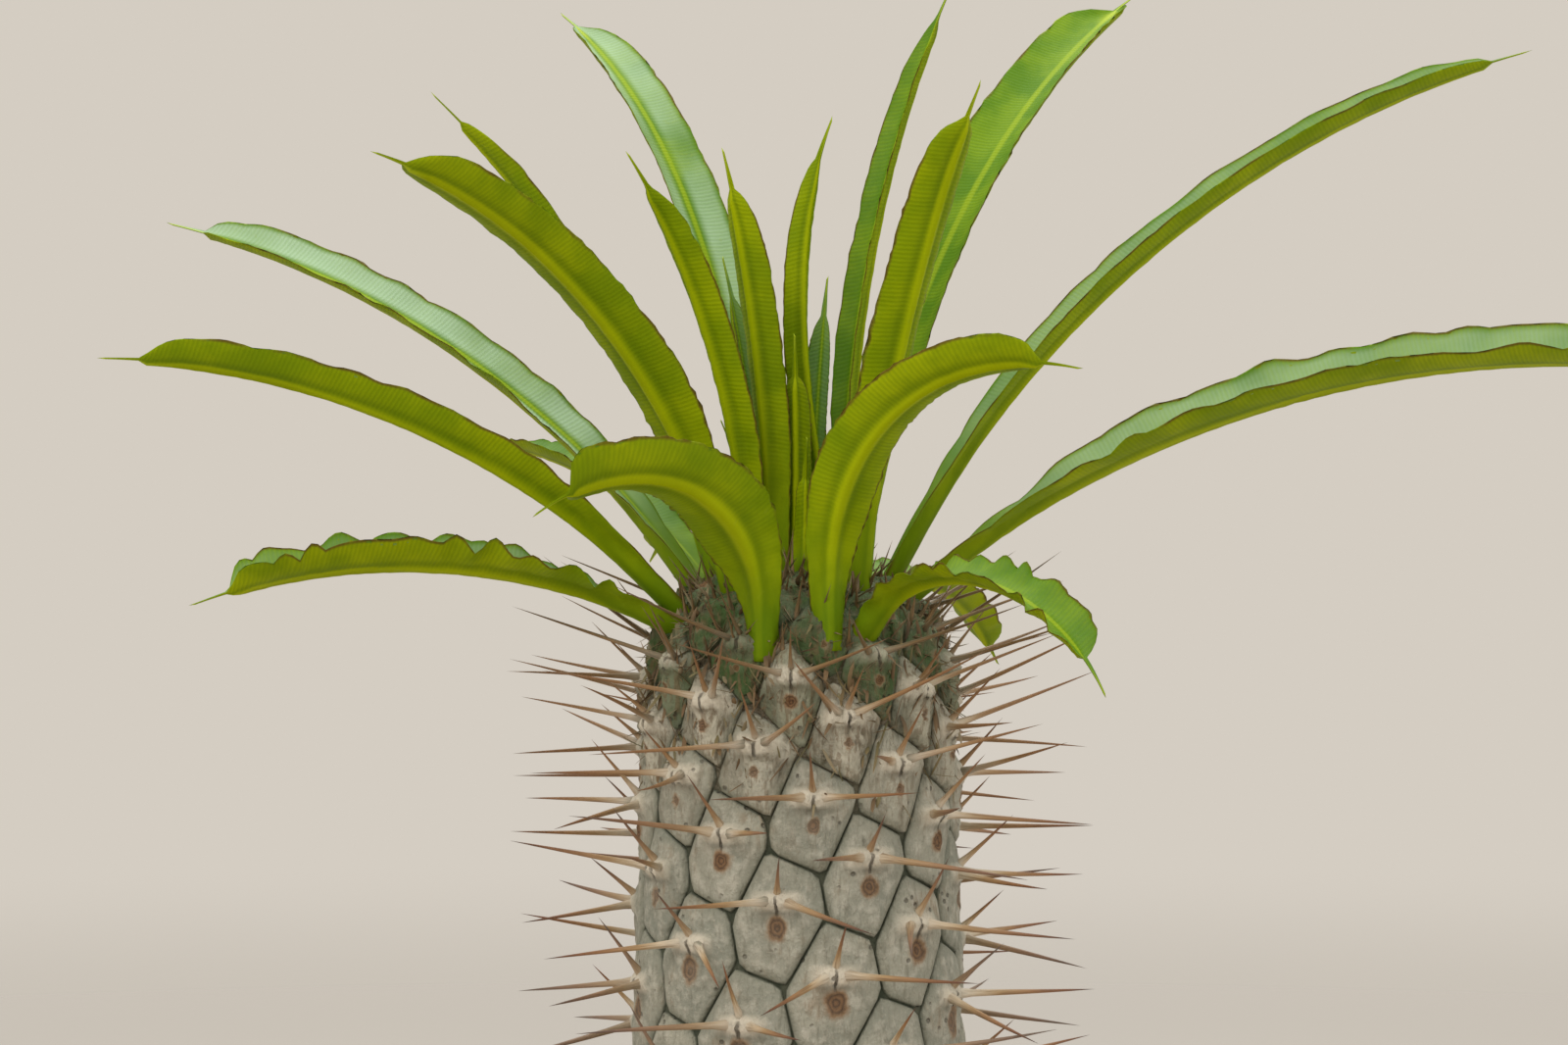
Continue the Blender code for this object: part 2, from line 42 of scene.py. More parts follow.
# Pot and soil, as in the CAD
POT_HEIGHT = 150 * MM
POT_FOOT_RADIUS = 62 * MM
POT_TOP_RADIUS = 90 * MM
POT_WALL = 7 * MM
POT_FLOOR = 11 * MM
RIM_HEIGHT = 26 * MM
RIM_PROUD = 5 * MM
DRAIN_RADIUS = 6 * MM
DRAIN_RING_RADIUS = 36 * MM
DRAIN_COUNT = 4
SOIL_LEVEL = 135 * MM
SOIL_MOUND = 3.5 * MM
SOIL_TOP = SOIL_LEVEL + SOIL_MOUND

# Stem, as in the CAD
APEX_Z = 361 * MM
STEM_RADIUS = 44 * MM
SHOULDER_DEPTH = 7.5 * MM
SHOULDER_POWER = 0.8
BASE_SWELL = 10 * MM
SWELL_START = 30 * MM
SWELL_POWER = 2.2
SOIL_DEPTH = APEX_Z - SOIL_LEVEL
ROOT_DEPTH = SOIL_DEPTH + 38 * MM
GOLDEN_ANGLE = 137.508
SPIRAL_START = -3.0
YOUNG_PLATES = 30
YOUNG_SPREAD = 9.2 * MM
YOUNG_STEP = 0.2 * MM
PLATE_STEP = 1.225 * MM
PLATE_STEP_GROWTH = 0.0346 * MM
PLATE_STEP_MOST = 2.85 * MM
FIRST_PLATE = -26
LAST_PLATE_CLEAR = 4 * MM
OLDEST = 110
PLATE_SQUASH = 0.67
PLATE_REACH = 26 * MM
PLATE_NEIGHBOUR = 52 * MM
CORNER_SHARPNESS = 30
PLATE_SUNK = 1.3 * MM
PLATE_THICKNESS = 3.0 * MM
GROOVE_DEPTH = 1.3 * MM
GROOVE_WIDTH = 0.15 * MM
ROW_STEP = 13
ROW_LEVEL = 0.55
FIRST_SPINED_PLATE = -15
SPINE_RISE = 4.0 * MM
SIDE_SPINE_LENGTH = 46 * MM
UPPER_SPINE_LENGTH = 20 * MM
SPINE_SPREAD = 42.0
SPINE_CLEARANCE = 2.2 * MM
SPINE_SUNK = 2.4 * MM
SPINE_START = 2.6 * MM

# Leaves, as in the CAD but for a flatter foot
BLADE_THICKNESS = 0.7 * MM
PETIOLE_HALF_WIDTH = 4.6 * MM
PETIOLE_FOLD = 16.0
THREAD_LENGTH = 12 * MM
LEAF_ROOT = 7 * MM

# Bark relief, which scene.py adds to the CAD's plates
RIM_DROP = 1.3 * MM
SWELL_HEIGHT = 1.1 * MM
RIB_HEIGHT = 2.3 * MM
BRIDGE_LENGTH = 6.6 * MM
RELIEF_REACH = 3.4 * MM

# What the materials and the meshes share: the width of a plate's map and the place of its leaf scar, in
# millimetres, leaf map units to a metre, and millimetres between a leaf's cross veins
PLATE_MAP = 60
SCAR_BELOW = 3.6
LEAF_MAP = 10
VEIN_STEP = 1.25

# Soil, which scene.py shapes
SOIL_INNER = 51 * MM
SOIL_TUCK = 12 * MM
SOIL_CLEAR = 0.5 * MM
GRIT_FROM, GRIT_TO = 54, 79
GRIT_SIZES = (0.6, 0.8, 1.0, 1.2, 1.7, 2.3)

# Faces round each kind of piece, and along it
PLATE_MESH, GROOVE_MESH, LEAF_MESH = (36, 22), (120, 150), (36, 84)
SPINE_MESH, PRICKLE_MESH, SCALE_MESH = (7, 9), (6, 8), (5, 6)
POT_MESH, SOIL_MESH, GRIT_MESH = (128, 150), (160, 64), (7, 6)

# How many there are of each small thing, and the seeds of what varies
SCALE_COUNT, PRICKLE_COUNT, BUD_COUNT, GRIT_COUNT = 1500, 150, 9, 1500
SPINE_SEED, SCALE_SEED, PRICKLE_SEED, BUD_SEED, GRIT_SEED = 7, 17, 29, 5, 23
BARK_WEAR, GROOVE_WEAR, SOIL_LUMPS, SOIL_CRUMBS = 900, 31, 61, 62
LEAF_RIPPLE, BUD_RIPPLE, PRICKLE_NUMBERS = 100, 300, 4000

# Stage
FLOOR_RADIUS = 6.0
FLOOR_FADE = (0.5, 3.2)
FLOOR_COLOUR = (0.52, 0.49, 0.45)
SURROUND_COLOUR = (0.66, 0.61, 0.54)
LAMP_AIM = Vector((0, 0, 0.33))

# Lamps: name, place, size, power in watts, colour
LAMPS = (
    ("key", (-0.7, -1.0, 1.5), 1.2, 18.0, (1.0, 0.98, 0.95)),
    ("fill", (1.2, -0.6, 0.9), 1.0, 5.0, (0.95, 0.98, 1.0)),
    ("top", (0.1, 0.6, 1.7), 1.4, 22.0, (0.92, 0.97, 1.0)),
)

# How much pale sheen, a reflection painted into the colour, each leaf shows on its upper face, from 0 to 1.
# The others have PLAIN_SHEEN.
PLAIN_SHEEN = 0.25
SHEEN = {
    "leaf_01": 0.45, "leaf_03": 1.0, "leaf_07": 0.8, "leaf_11": 0.05, "leaf_13": 0.0, "leaf_14": 0.0,
    "leaf_15": 0.45, "leaf_16": 0.6, "leaf_17": 0.1, "leaf_18": 0.0,
}

# Each leaf, from leaf_01 on: azimuth, distance of its foot from the axis, rise at the foot, rise at the tip,
# length, turn to the side, how late it bends, width, fold, roll about its midrib, height of the waves in its
# edge. Degrees and millimetres.
LEAVES = [
    (-68, 37, 24, -20, 142, 0, 1.0, 22, 44, 4, 1.7),
    (-75, 34, 45, 0, 181, 0, 1.0, 20, 38, -14, 0.4),
    (-100, 28, 54, 13, 196, 0, 1.0, 20, 30, 24, 0.5),
    (-47, 25, 71, 12, 177, 0, 1.0, 21, 24, -18, 0.3),
    (-85, 22, 74, 44, 162, 0, 1.0, 17, 30, 0, 0.3),
    (-45, 18, 86, 48, 128, 0, 1.0, 14, 27, 0, 0.3),
    (-142, 20, 86, 28, 208, 0, 1.2, 21, 27, 0, 0.3),
    (-38, 11, 88, 69, 120, 0, 1.0, 14, 27, 0, 0.2),
    (-5, 6, 86, 80, 66, 0, 1.0, 10, 34, 0, 0.0),
    (95, 9, 100, 68, 130, 0, 2.0, 10, 34, 60, 0.2),
    (115, 14, 92, 64, 176, 0, 1.0, 14, 27, 0, 0.3),
    (42, 24, 80, 60, 146, 0, 1.0, 19, 24, 0, 0.2),
    (138, 23, 78, 28, 234, 0, 1.0, 27, 24, 0, 0.3),
    (12, 38, 92, -14, 126, 70, 1.0, 21, 27, 28, 0.3),
    (91, 24, 63, 15, 246, 0, 1.0, 18, 34, -12, 0.4),
    (76, 30, 39, -8, 232, 0, 1.0, 25, 40, -20, 0.9),
    (29, 38, 43, -65, 105, 32, 1.0, 19, 27, -10, 1.6),
    (-15, 39, 80, -38, 106, -60, 1.0, 26, 24, -34, 0.3),
    (-130, 30, 48, 2, 108, 0, 1.0, 17, 27, 0, 0.4),
    (178, 33, 20, -35, 150, 0, 1.0, 18, 30, 0, 0.8),
    (-163, 29, 30, -25, 140, 0, 1.0, 18, 27, 8, 0.6),
    (158, 32, 16, -36, 150, 0, 1.0, 18, 30, -8, 0.8),
    (160, 10, 86, 74, 86, 0, 1.0, 9, 34, 0, 0.0),
    (-128, 12, 86, 74, 92, 0, 1.0, 9, 34, 0, 0.0),
]

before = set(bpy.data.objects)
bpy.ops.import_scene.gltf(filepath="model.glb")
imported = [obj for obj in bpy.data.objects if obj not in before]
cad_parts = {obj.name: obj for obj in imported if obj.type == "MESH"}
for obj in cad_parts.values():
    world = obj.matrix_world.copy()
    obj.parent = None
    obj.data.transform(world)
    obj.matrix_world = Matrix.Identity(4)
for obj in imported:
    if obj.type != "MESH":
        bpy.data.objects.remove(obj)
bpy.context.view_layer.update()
bpy.ops.object.select_all(action="DESELECT")


# Shapes: every grown piece starts as a ball whose two poles become its ends


class Ball:
    """A closed ball primitive, read as turn (round it, 0 to 1) and share (pole to pole, 0 to 1)."""

    def __init__(self, segments, rings):
        bpy.ops.mesh.primitive_uv_sphere_add(segments=segments, ring_count=rings, radius=1.0)
        self.obj = bpy.context.object
        self.unit = points_of(self.obj.data)
        self.share = np.arccos(np.clip(self.unit[:, 2], -1, 1)) / math.pi
        self.turn = np.arctan2(self.unit[:, 1], self.unit[:, 0]) / (2 * math.pi) % 1.0
        self.angle = self.turn * 2 * math.pi
        self.count = len(self.unit)

    def columns(self, parts):
        """Parts side by side, each a number for all points or an array with one for each."""
        return np.column_stack([np.broadcast_to(part, self.count) for part in parts])

    def copy(self, name, points, uv=None, facts=None):
        """A piece of this ball's make with its points moved, a pair for its map and three facts."""
        mesh = self.obj.data.copy()
        mesh.name = name
        mesh.vertices.foreach_set("co", np.asarray(points, dtype=float).ravel())
        if uv is not None:
            corners = np.zeros(len(mesh.loops), dtype=int)
            mesh.loops.foreach_get("vertex_index", corners)
            mesh.uv_layers[0].data.foreach_set("uv", self.columns(uv)[corners].ravel())
        if facts is not None:
            layer = mesh.color_attributes.new("facts", "FLOAT_COLOR", "POINT")
            layer.data.foreach_set("color", self.columns((*facts, 1.0)).ravel())
        mesh.update()
        obj = bpy.data.objects.new(name, mesh)
        bpy.context.scene.collection.objects.link(obj)
        return obj

    def done(self):
        bpy.data.objects.remove(self.obj)

    def join(self, name, made):
        """The ball is put away, and the pieces made from it become one object."""
        self.done()
        return joined(name, made)


def points_of(mesh):
    found = np.zeros(len(mesh.vertices) * 3)
    mesh.vertices.foreach_get("co", found)
    return found.reshape(-1, 3)


def joined(name, pieces):
    """Several pieces made one object."""
    bpy.ops.object.select_all(action="DESELECT")
    for piece in pieces:
        piece.select_set(True)
    bpy.context.view_layer.objects.active = pieces[0]
    bpy.ops.object.join()
    obj = bpy.context.object
    obj.name = obj.data.name = name
    obj.select_set(False)
    return obj


def outward(azimuth):
    return Vector((math.sin(azimuth), -math.cos(azimuth), 0.0))


def rightward(azimuth):
    return Vector((math.cos(azimuth), math.sin(azimuth), 0.0))


def aimed(local, axis, start):
    """Points built up +Z, turned to run along an axis and moved to its start."""
    return local @ np.array(axis.to_track_quat("Z", "Y").to_matrix()).T + np.array(start)


def finish_piece(obj, material, slot, *nodes, smooth_angle=180):
    """Outward faces, smooth shading, a material and a body to ride on. The CAD nodes that it stands for are
    hidden.
    """
    bpy.ops.object.select_all(action="DESELECT")
    obj.select_set(True)
    bpy.context.view_layer.objects.active = obj
    bpy.ops.object.mode_set(mode="EDIT")
    bpy.ops.mesh.select_all(action="SELECT")
    bpy.ops.mesh.normals_make_consistent(inside=False)
    bpy.ops.object.mode_set(mode="OBJECT")
    bpy.ops.object.shade_smooth_by_angle(angle=math.radians(smooth_angle))
    obj.select_set(False)
    obj.data.materials.clear()
    obj.data.materials.append(material)
    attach(obj, "root")
    if nodes:
        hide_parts(*nodes)
    return obj


def smooth(value):
    """0 below 0 and 1 above 1, with a smooth change between."""
    value = np.clip(value, 0.0, 1.0)
    return value * value * (3 - 2 * value)


def hill(value, width):
    """1 at 0, falling away on both sides."""
    return np.exp(-((value / width) ** 2))


class Ripple:
    """Seeded smooth noise in one or two directions, from a few waves."""

    def __init__(self, seed, waves=6, longest=1.0):
        draw = random.Random(seed)
        ranges = ((0.6, 3.0, longest), (-2.5, 2.5, longest), (0, 2 * math.pi, 1.0))
        self.waves = [[draw.uniform(low, high) / part for low, high, part in ranges] for _ in range(waves)]

    def __call__(self, along, across=0.0):
        total = 0.0
        for run, sideways, start in self.waves:
            total = total + np.sin(2 * math.pi * (run * along + sideways * across) + start)
        return total / len(self.waves) * 1.6


# The stem's outline and its plates, as in the CAD


def stem_radius(depth):
    """The stem's radius at a depth below the growing tip."""
    shoulder = 1.0 - np.exp(-((np.maximum(depth, 0.0) / SHOULDER_DEPTH) ** SHOULDER_POWER))
    swell = np.maximum((depth - SWELL_START) / (SOIL_DEPTH - SWELL_START), 0.0) ** SWELL_POWER
    return STEM_RADIUS * shoulder + BASE_SWELL * swell


class Meridian:
    """The stem's outline from the growing tip down, read by the distance along it."""

    SAMPLES = 1200
    REACH = 0.5 * MM

    def __init__(self):
        self.depth = SOIL_DEPTH * 1.3 * np.linspace(0.0, 1.0, self.SAMPLES) ** 2
        self.radius = stem_radius(self.depth)
        steps = np.hypot(np.diff(self.radius), np.diff(self.depth))
        self.along = np.concatenate([[0.0], np.cumsum(steps)])

    def at_depth(self, depth):
        return float(np.interp(depth, self.depth, self.along))

    def read(self, along):
        return np.interp(along, self.along, self.radius), np.interp(along, self.along, self.depth)

    def point(self, along):
        """(radius, height, outward normal as its radius and height parts)"""
        along = np.clip(along, self.REACH, self.along[-1] - self.REACH)
        radius, depth = self.read(along)
        r0, d0 = self.read(along - self.REACH)
        r1, d1 = self.read(along + self.REACH)
        run = np.hypot(r1 - r0, d1 - d0)
        return radius, APEX_Z - depth, (d1 - d0) / run, (r1 - r0) / run


STEM_OUTLINE = Meridian()


def on_stem(azimuth, along, height):
    """Points at an azimuth in radians, a distance along the outline, and a height above it."""
    radius, z, normal_r, normal_z = STEM_OUTLINE.point(along)
    reach = radius + height * normal_r
    return np.column_stack([reach * np.sin(azimuth), -reach * np.cos(azimuth), z + height * normal_z])


def spine_row_along(index):
    """Distance from the growing tip to a plate's spines. Plates with a number below 0 are the crown's."""
    age = min(index, 0) + YOUNG_PLATES
    along = YOUNG_SPREAD * math.sqrt(age) + YOUNG_STEP * age
    if index <= 0:
        return along
    depth = float(np.interp(along, STEM_OUTLINE.along, STEM_OUTLINE.depth))
    for step in range(index):
        depth += min(PLATE_STEP + PLATE_STEP_GROWTH * step, PLATE_STEP_MOST)
    return STEM_OUTLINE.at_depth(depth)


class Plate:
    """One bark plate: where it sits in the spiral, its size, and how old it is, from 0 to 1."""

    def __init__(self, index):
        self.index = index
        self.azimuth = math.radians((SPIRAL_START + index * GOLDEN_ANGLE + 180.0) % 360.0 - 180.0)
        self.along = spine_row_along(index)
        self.radius = float(STEM_OUTLINE.point(self.along)[0])
        self.size = min(1.0, self.radius / STEM_RADIUS)
        self.along += SPINE_RISE * self.size
        self.squash = 1.0 + (PLATE_SQUASH - 1.0) * min(1.0, max(0.0, (index + YOUNG_PLATES) / YOUNG_PLATES))
        self.age = min(1.0, (index + YOUNG_PLATES) / OLDEST)
        self.youth = float(1 - smooth((index - 2) / 32))

    def wrap(self, across, down, height):
        """Points that far across, down and out from the plate's middle, on the stem."""
        return on_stem(self.azimuth + across / self.radius, self.along + down, height)

    def spot(self, across, down, height):
        return Vector(self.wrap(across, down, height)[0])

    def boss(self):
        """How far the boss that bears the spines stands out: most on the young plates."""
        return (4.2 - 1.8 * min(max(self.index + 10, 0), 60) / 60) * MM * self.size


def spiral_plates():
    """The plates from the growing tip down to the soil."""
    plates = []
    index = FIRST_PLATE
    while spine_row_along(index) < STEM_OUTLINE.at_depth(APEX_Z - SOIL_TOP) - LAST_PLATE_CLEAR:
        plates.append(Plate(index))
        index += 1
    return plates


def plate_reach(plate, plates, way_across, way_down):
    """How far the plate reaches in each direction, with its corners rounded, before the grooves round it."""
    nearness = np.full(len(way_across), (1 / PLATE_REACH) ** CORNER_SHARPNESS)
    for other in plates:
        turn = (other.azimuth - plate.azimuth + math.pi) % (2 * math.pi) - math.pi
        away = (turn * plate.radius, (other.along - plate.along) * plate.squash)
        if other is plate or math.hypot(*away) > PLATE_NEIGHBOUR:
            continue
        level = ROW_LEVEL if abs(other.index - plate.index) == ROW_STEP and plate.index > 0 else 1.0
        facing_to = (away[0] * level, away[1])
        distance = math.hypot(*facing_to)
        facing = (way_across * facing_to[0] + way_down * facing_to[1]) / distance
        limit = (away[0] * facing_to[0] + away[1] * facing_to[1]) / distance / 2 - GROOVE_WIDTH / 2
        nearness += np.where(facing > 0.05, (np.maximum(facing, 0.05) / limit) ** CORNER_SHARPNESS, 0.0)
    to_soil = (STEM_OUTLINE.at_depth(APEX_Z - SOIL_TOP) - plate.along) * plate.squash
    nearness += np.where(way_down > 0.05, (np.maximum(way_down, 0.05) / to_soil) ** CORNER_SHARPNESS, 0.0)
    return nearness ** (-1 / CORNER_SHARPNESS)


def plate_relief(plate, across, down, edge):
    """Height of the bark over the stem's outline: a rounded rim, a swell, a bridge for the spines, a leaf
    scar and wrinkles. Young plates have a low rim, an upright rib and deeper folds."""
    wear = Ripple(plate.index + BARK_WEAR, longest=14 * MM)
    rise = down + SPINE_RISE * plate.size
    inside = 1 - np.exp(-edge / (0.9 * MM))
    rim = -(RIM_DROP - 0.8 * MM * plate.youth) * np.exp(-edge / (0.4 * MM))
    swell = SWELL_HEIGHT * (1 - np.exp(-edge / (4.0 * MM))) * (1 - 0.7 * plate.youth)
    boss = plate.boss()
    bridge = boss * hill(across, BRIDGE_LENGTH * plate.size) * hill(rise, (2.6 + 0.8 * plate.youth) * MM)
    saddle = -0.22 * boss * hill(across, 1.8 * MM) * hill(rise - 1.0 * MM, RELIEF_REACH)
    rib_width = (3.0 + 1.2 * wear(down * 0.5)) * MM
    rib = RIB_HEIGHT * plate.youth * hill(across, rib_width) * smooth((rise + 2 * MM) / (5 * MM))
    crease = -0.6 * MM * hill(across, 0.4 * MM) * hill(rise - 2.0 * MM, RELIEF_REACH)
    scar_size = (1.3 + 2.1 * float(smooth((plate.index - 5) / 50))) * MM
    from_scar = np.hypot(across, (down - SCAR_BELOW * MM) * 0.8)
    scar = 0.4 * MM * hill(from_scar - scar_size, 0.7 * MM) - 0.4 * MM * hill(from_scar, 0.6 * scar_size)
    fold = np.hypot(across * 0.55, rise) / (2.0 * MM) + 0.35 * wear(across, down)
    folds = 0.18 * MM * np.sin(2 * math.pi * fold) * hill(across, 8 * MM) * hill(rise, 5.5 * MM)
    upright = across / (2.4 * MM) + 1.3 * wear(down * 0.6, across * 0.3)
    folds = folds + (0.06 + 0.42 * plate.youth) * MM * np.sin(2 * math.pi * upright)
    rough = 0.24 * MM * wear(down, across) + folds
    return rim + (swell + bridge + saddle + rib + crease + scar + rough) * inside


def bark_plates(plates):
    """Every bark plate as a rounded closed block sunk in the stem."""
    ball = Ball(*PLATE_MESH)
    top_share = 0.8
    way_across, way_down = np.cos(ball.angle), np.sin(ball.angle)
    top = np.clip(ball.share / top_share, 0.0, 1.0)
    part = 1 - (1 - top) ** 1.45
    under = np.clip((ball.share - top_share) / (1 - top_share), 0.0, 1.0)
    made = []
    for plate in plates:
        reach = plate_reach(plate, plates, way_across, way_down)
        span = reach * part * (1 - np.clip(under * 1.6 - 0.6, 0, 1))
        across, down = span * way_across, span * way_down / plate.squash
        edge = reach * (1 - part)
        height = plate_relief(plate, across, down, edge)
        height = np.where(under > 0, -PLATE_SUNK - PLATE_THICKNESS * np.minimum(under * 1.6, 1.0), height)
        uv = [0.5 + way / (PLATE_MAP * MM) for way in (across, down)]
        facts = np.clip(edge / (10 * MM), 0, 1), plate.age, random.Random(plate.index).random()
        made.append(ball.copy(f"plate_{plate.index}", plate.wrap(across, down, height), uv, facts))
    return ball.join("stem_plates", made)


def groove_floor():
    """The stem under its plates: what shows in the grooves, at the growing tip and at the soil."""
    ball = Ball(*GROOVE_MESH)
    side_share, below_soil = 0.9, 6 * MM
    foot = STEM_OUTLINE.at_depth(SOIL_DEPTH + below_soil)
    along = np.clip(ball.share / side_share, 0, 1) * foot
    wear = Ripple(GROOVE_WEAR, waves=9, longest=12 * MM)
    points = on_stem(ball.angle, along, -GROOVE_DEPTH + 0.12 * MM * wear(along, ball.angle * STEM_RADIUS))
    points[ball.share < 1e-4] = (0, 0, APEX_Z - GROOVE_DEPTH)
    closing = np.clip((ball.share - side_share) / (1 - side_share), 0, 1)
    closing[ball.share > 1 - 1e-4] = 1.0
    points[:, :2] *= (1 - closing)[:, None]
    points[:, 2] -= np.minimum(closing * 2, 1) * (ROOT_DEPTH - SOIL_DEPTH - below_soil)
    age = np.clip(along / foot, 0, 1)
    obj = ball.copy("stem_grooves", points, (ball.angle, along * 10), (0.0, age, 0.0))
    ball.done()
    return obj


# Leaves


class Leaf:
    """A leaf's midrib, as in the CAD, and its blade."""

    STEPS = 60

    def __init__(self, name, azimuth, seat, rise, droop, length, turn, bend, width, fold, roll, wave):
        self.name = name
        self.length = length * MM
        self.half_width = width * MM / 2
        self.thread = 1.0 - THREAD_LENGTH / self.length
        self.blunt = 0.6 + 0.012 * (width - 14)
        self.bluntness = max(3.2, 3.2 + 0.35 * (width - 14))
        self.wave = wave * MM
        self.fold = fold
        self.roll = math.radians(roll)
        self.turn = turn
        self.azimuth = math.radians(azimuth)
        depth = float(np.interp(seat * MM, STEM_OUTLINE.radius, STEM_OUTLINE.depth))
        foot = (seat * MM * math.sin(self.azimuth), -seat * MM * math.cos(self.azimuth), APEX_Z - depth)
        root = LEAF_ROOT / self.length
        self.shares = np.linspace(-root, 1.0, self.STEPS)
        self.points, self.ways = [], []
        step = (1.0 + root) / (self.STEPS - 1) * self.length
        place = Vector(foot) - self.way(0.0, rise, droop, turn, bend) * LEAF_ROOT
        for share in self.shares:
            way = self.way(max(share, 0.0), rise, droop, turn, bend)
            self.points.append(np.array(place))
            self.ways.append(way)
            place = place + way * step

    def way(self, share, rise, droop, turn, bend):
        """The way that the midrib runs at that share of the length."""
        pitch = math.radians(rise + (droop - rise) * share**bend)
        heading = self.azimuth + math.radians(turn) * share
        flat = math.cos(pitch)
        return Vector((flat * math.sin(heading), -flat * math.cos(heading), math.sin(pitch)))

    def frame(self, share):
        """The midrib's point at that share of the length, and the ways across and up from it."""
        at = (share - self.shares[0]) / (self.shares[-1] - self.shares[0]) * (self.STEPS - 1)
        low = min(int(at), self.STEPS - 2)
        point = Vector(self.points[low]).lerp(Vector(self.points[low + 1]), at - low)
        way = self.ways[low].lerp(self.ways[low + 1], at - low).normalized()
        heading = self.azimuth + math.radians(self.turn) * max(0.0, share)
        across = -rightward(heading)
        across = (across - way * across.dot(way)).normalized()
        up = across.cross(way)
        turn = self.roll * min(1.0, max(0.0, share) * 4)
        rolled = across * math.cos(turn) + up * math.sin(turn)
        return point, rolled, rolled.cross(way)

    def half(self, share):
        """Half the blade's width, measured along the blade."""
        grow = smooth(share / 0.38)
        width = PETIOLE_HALF_WIDTH * (1 - grow) + self.half_width * grow
        tip = np.clip((share - self.blunt) / (self.thread - self.blunt), 0.0, 1.0)
        thread = 0.35 * MM + 0.75 * MM * (1 - smooth((share - self.thread + 0.02) / (1.02 - self.thread)))
        return np.maximum(thread, width * np.maximum(1 - tip**self.bluntness, 0.0) ** 0.55)


def leaf_section(leaf, share, side, top, ripple):
    """Across and up from the midrib. side runs from -1 to 1 across the blade. top is 1 above and 0 below."""
    half = leaf.half(share)
    blade = np.clip((half - 1.1 * MM) / (2.4 * MM), 0, 1)
    grow = smooth(share / 0.5)
    fold = np.radians(PETIOLE_FOLD + (leaf.fold - PETIOLE_FOLD) * grow)
    rib = 1.0 - smooth((share - 0.1) / 0.85)
    petiole = 1.0 - smooth(share / 0.22)
    keel = np.minimum((0.9 + 1.7 * rib + 0.9 * petiole) * MM, 0.9 * MM + half * 0.6)
    keel_width = np.minimum((1.1 + 1.2 * rib + 2.4 * petiole) * MM, half * 0.96)
    reach = half * side
    crimp = 1 + 0.05 * ripple(share * 14 + 7 * side) * np.abs(side) ** 2 * blade
    valley = 0.7 * MM
    slope = np.hypot(reach, valley) - valley
    across = reach * np.cos(fold) * crimp
    up = slope * np.sin(fold)
    cup = -0.1 * half * np.sin(math.pi * np.minimum(np.abs(side), 1)) * grow
    far_side = side > 0
    crinkle = share * 9 * math.pi + 1.3 * far_side + 2.2 * ripple(share * 1.5 + 17 * far_side)
    waves = 1.5 * np.abs(np.sin(crinkle)) - 0.9 + 0.8 * ripple(share * 5 + 31 * far_side)
    quilt = 0.1 * MM * ripple(share * leaf.length / (5 * MM), side * 2.0) * (1 - np.abs(side) ** 4)
    up = up + cup * blade + (leaf.wave * waves * np.abs(side) ** 2.2 * smooth(share / 0.2) + quilt) * blade
    edge_round = np.sqrt(np.maximum(1 - np.abs(side) ** 6, 0.0))
    bump = np.sqrt(np.maximum(1 - (reach / keel_width) ** 2, 0.0))
    depth = BLADE_THICKNESS * 0.85 * edge_round * blade + keel * bump * (0.35 + 0.65 * blade)
    return across, up - np.where(top > 0.5, 0.0, depth)


def leaf_piece(ball, leaf, seed):
    """A folded blade with a thick keel below, waved edges and a thread at the tip, closed all round."""
    root = float(leaf.shares[0])
    share = root + (1.0 - root) * ball.share
    side = np.cos(ball.angle)
    side = np.sign(side) * np.abs(side) ** 1.15
    top = (np.sin(ball.angle) > -1e-6).astype(float)
    across, up = leaf_section(leaf, share, side, top, Ripple(seed))
    points = np.zeros((ball.count, 3))
    frames = {}
    for i, (here, x, y) in enumerate(zip(share, across, up)):
        key = round(float(here), 6)
        if key not in frames:
            frames[key] = [np.array(v) for v in leaf.frame(float(here))]
        point, way_across, way_up = frames[key]
        points[i] = point + way_across * x + way_up * y
    above = np.where(np.sin(ball.angle) > 0.02, 1.0, 0.0)
    facts = above, SHEEN.get(leaf.name, PLAIN_SHEEN), np.clip(share, 0, 1) ** 2
    return ball.copy(f"{leaf.name}_blade", points, (0.5 + 0.5 * side, share * leaf.length * LEAF_MAP), facts)


# Spines


def plate_spines(plate, rng):
    """Start, direction and length of the plate's spines, as in the CAD: one to each side and one above."""
    size = min(1.0, plate.radius / STEM_RADIUS + 0.1)
    height = plate.boss() / plate.size * size - SPINE_START
    level, right, up = outward(plate.azimuth), rightward(plate.azimuth), Vector((0, 0, 1))
    lift = 26.0 * math.exp(-max(plate.index + 4, 0) / 18.0) - 3.0
    found = []
    for side in (-1, 1):
        spread = math.radians(SPINE_SPREAD + rng.uniform(-7, 7))
        rise = math.radians(lift + rng.uniform(-11, 11))
        flat = level * math.cos(spread) + right * side * math.sin(spread)
        direction = flat * math.cos(rise) + up * math.sin(rise)
        start = plate.spot(side * 1.6 * MM, -SPINE_RISE * size, height)
        found.append((start, direction, SIDE_SPINE_LENGTH * size * rng.uniform(0.86, 1.08)))
    rise = math.radians(46 + rng.uniform(-8, 8))
    direction = level * math.cos(rise) + right * rng.uniform(-0.12, 0.12) + up * math.sin(rise)
    start = plate.spot(0.0, (-SPINE_RISE - 1.2 * MM) * size, height)
    found.append((start, direction.normalized(), UPPER_SPINE_LENGTH * size * rng.uniform(0.85, 1.15)))
    return found


def crosses_leaf(start, direction, length, midribs):
    """True where a spine would run into a leaf."""
    for share in np.linspace(0.0, 1.0, 12):
        point = np.array(start + direction * length * float(share))
        for middle, reach in midribs:
            if np.linalg.norm(middle - point) < reach + SPINE_CLEARANCE:
                return True
    return False


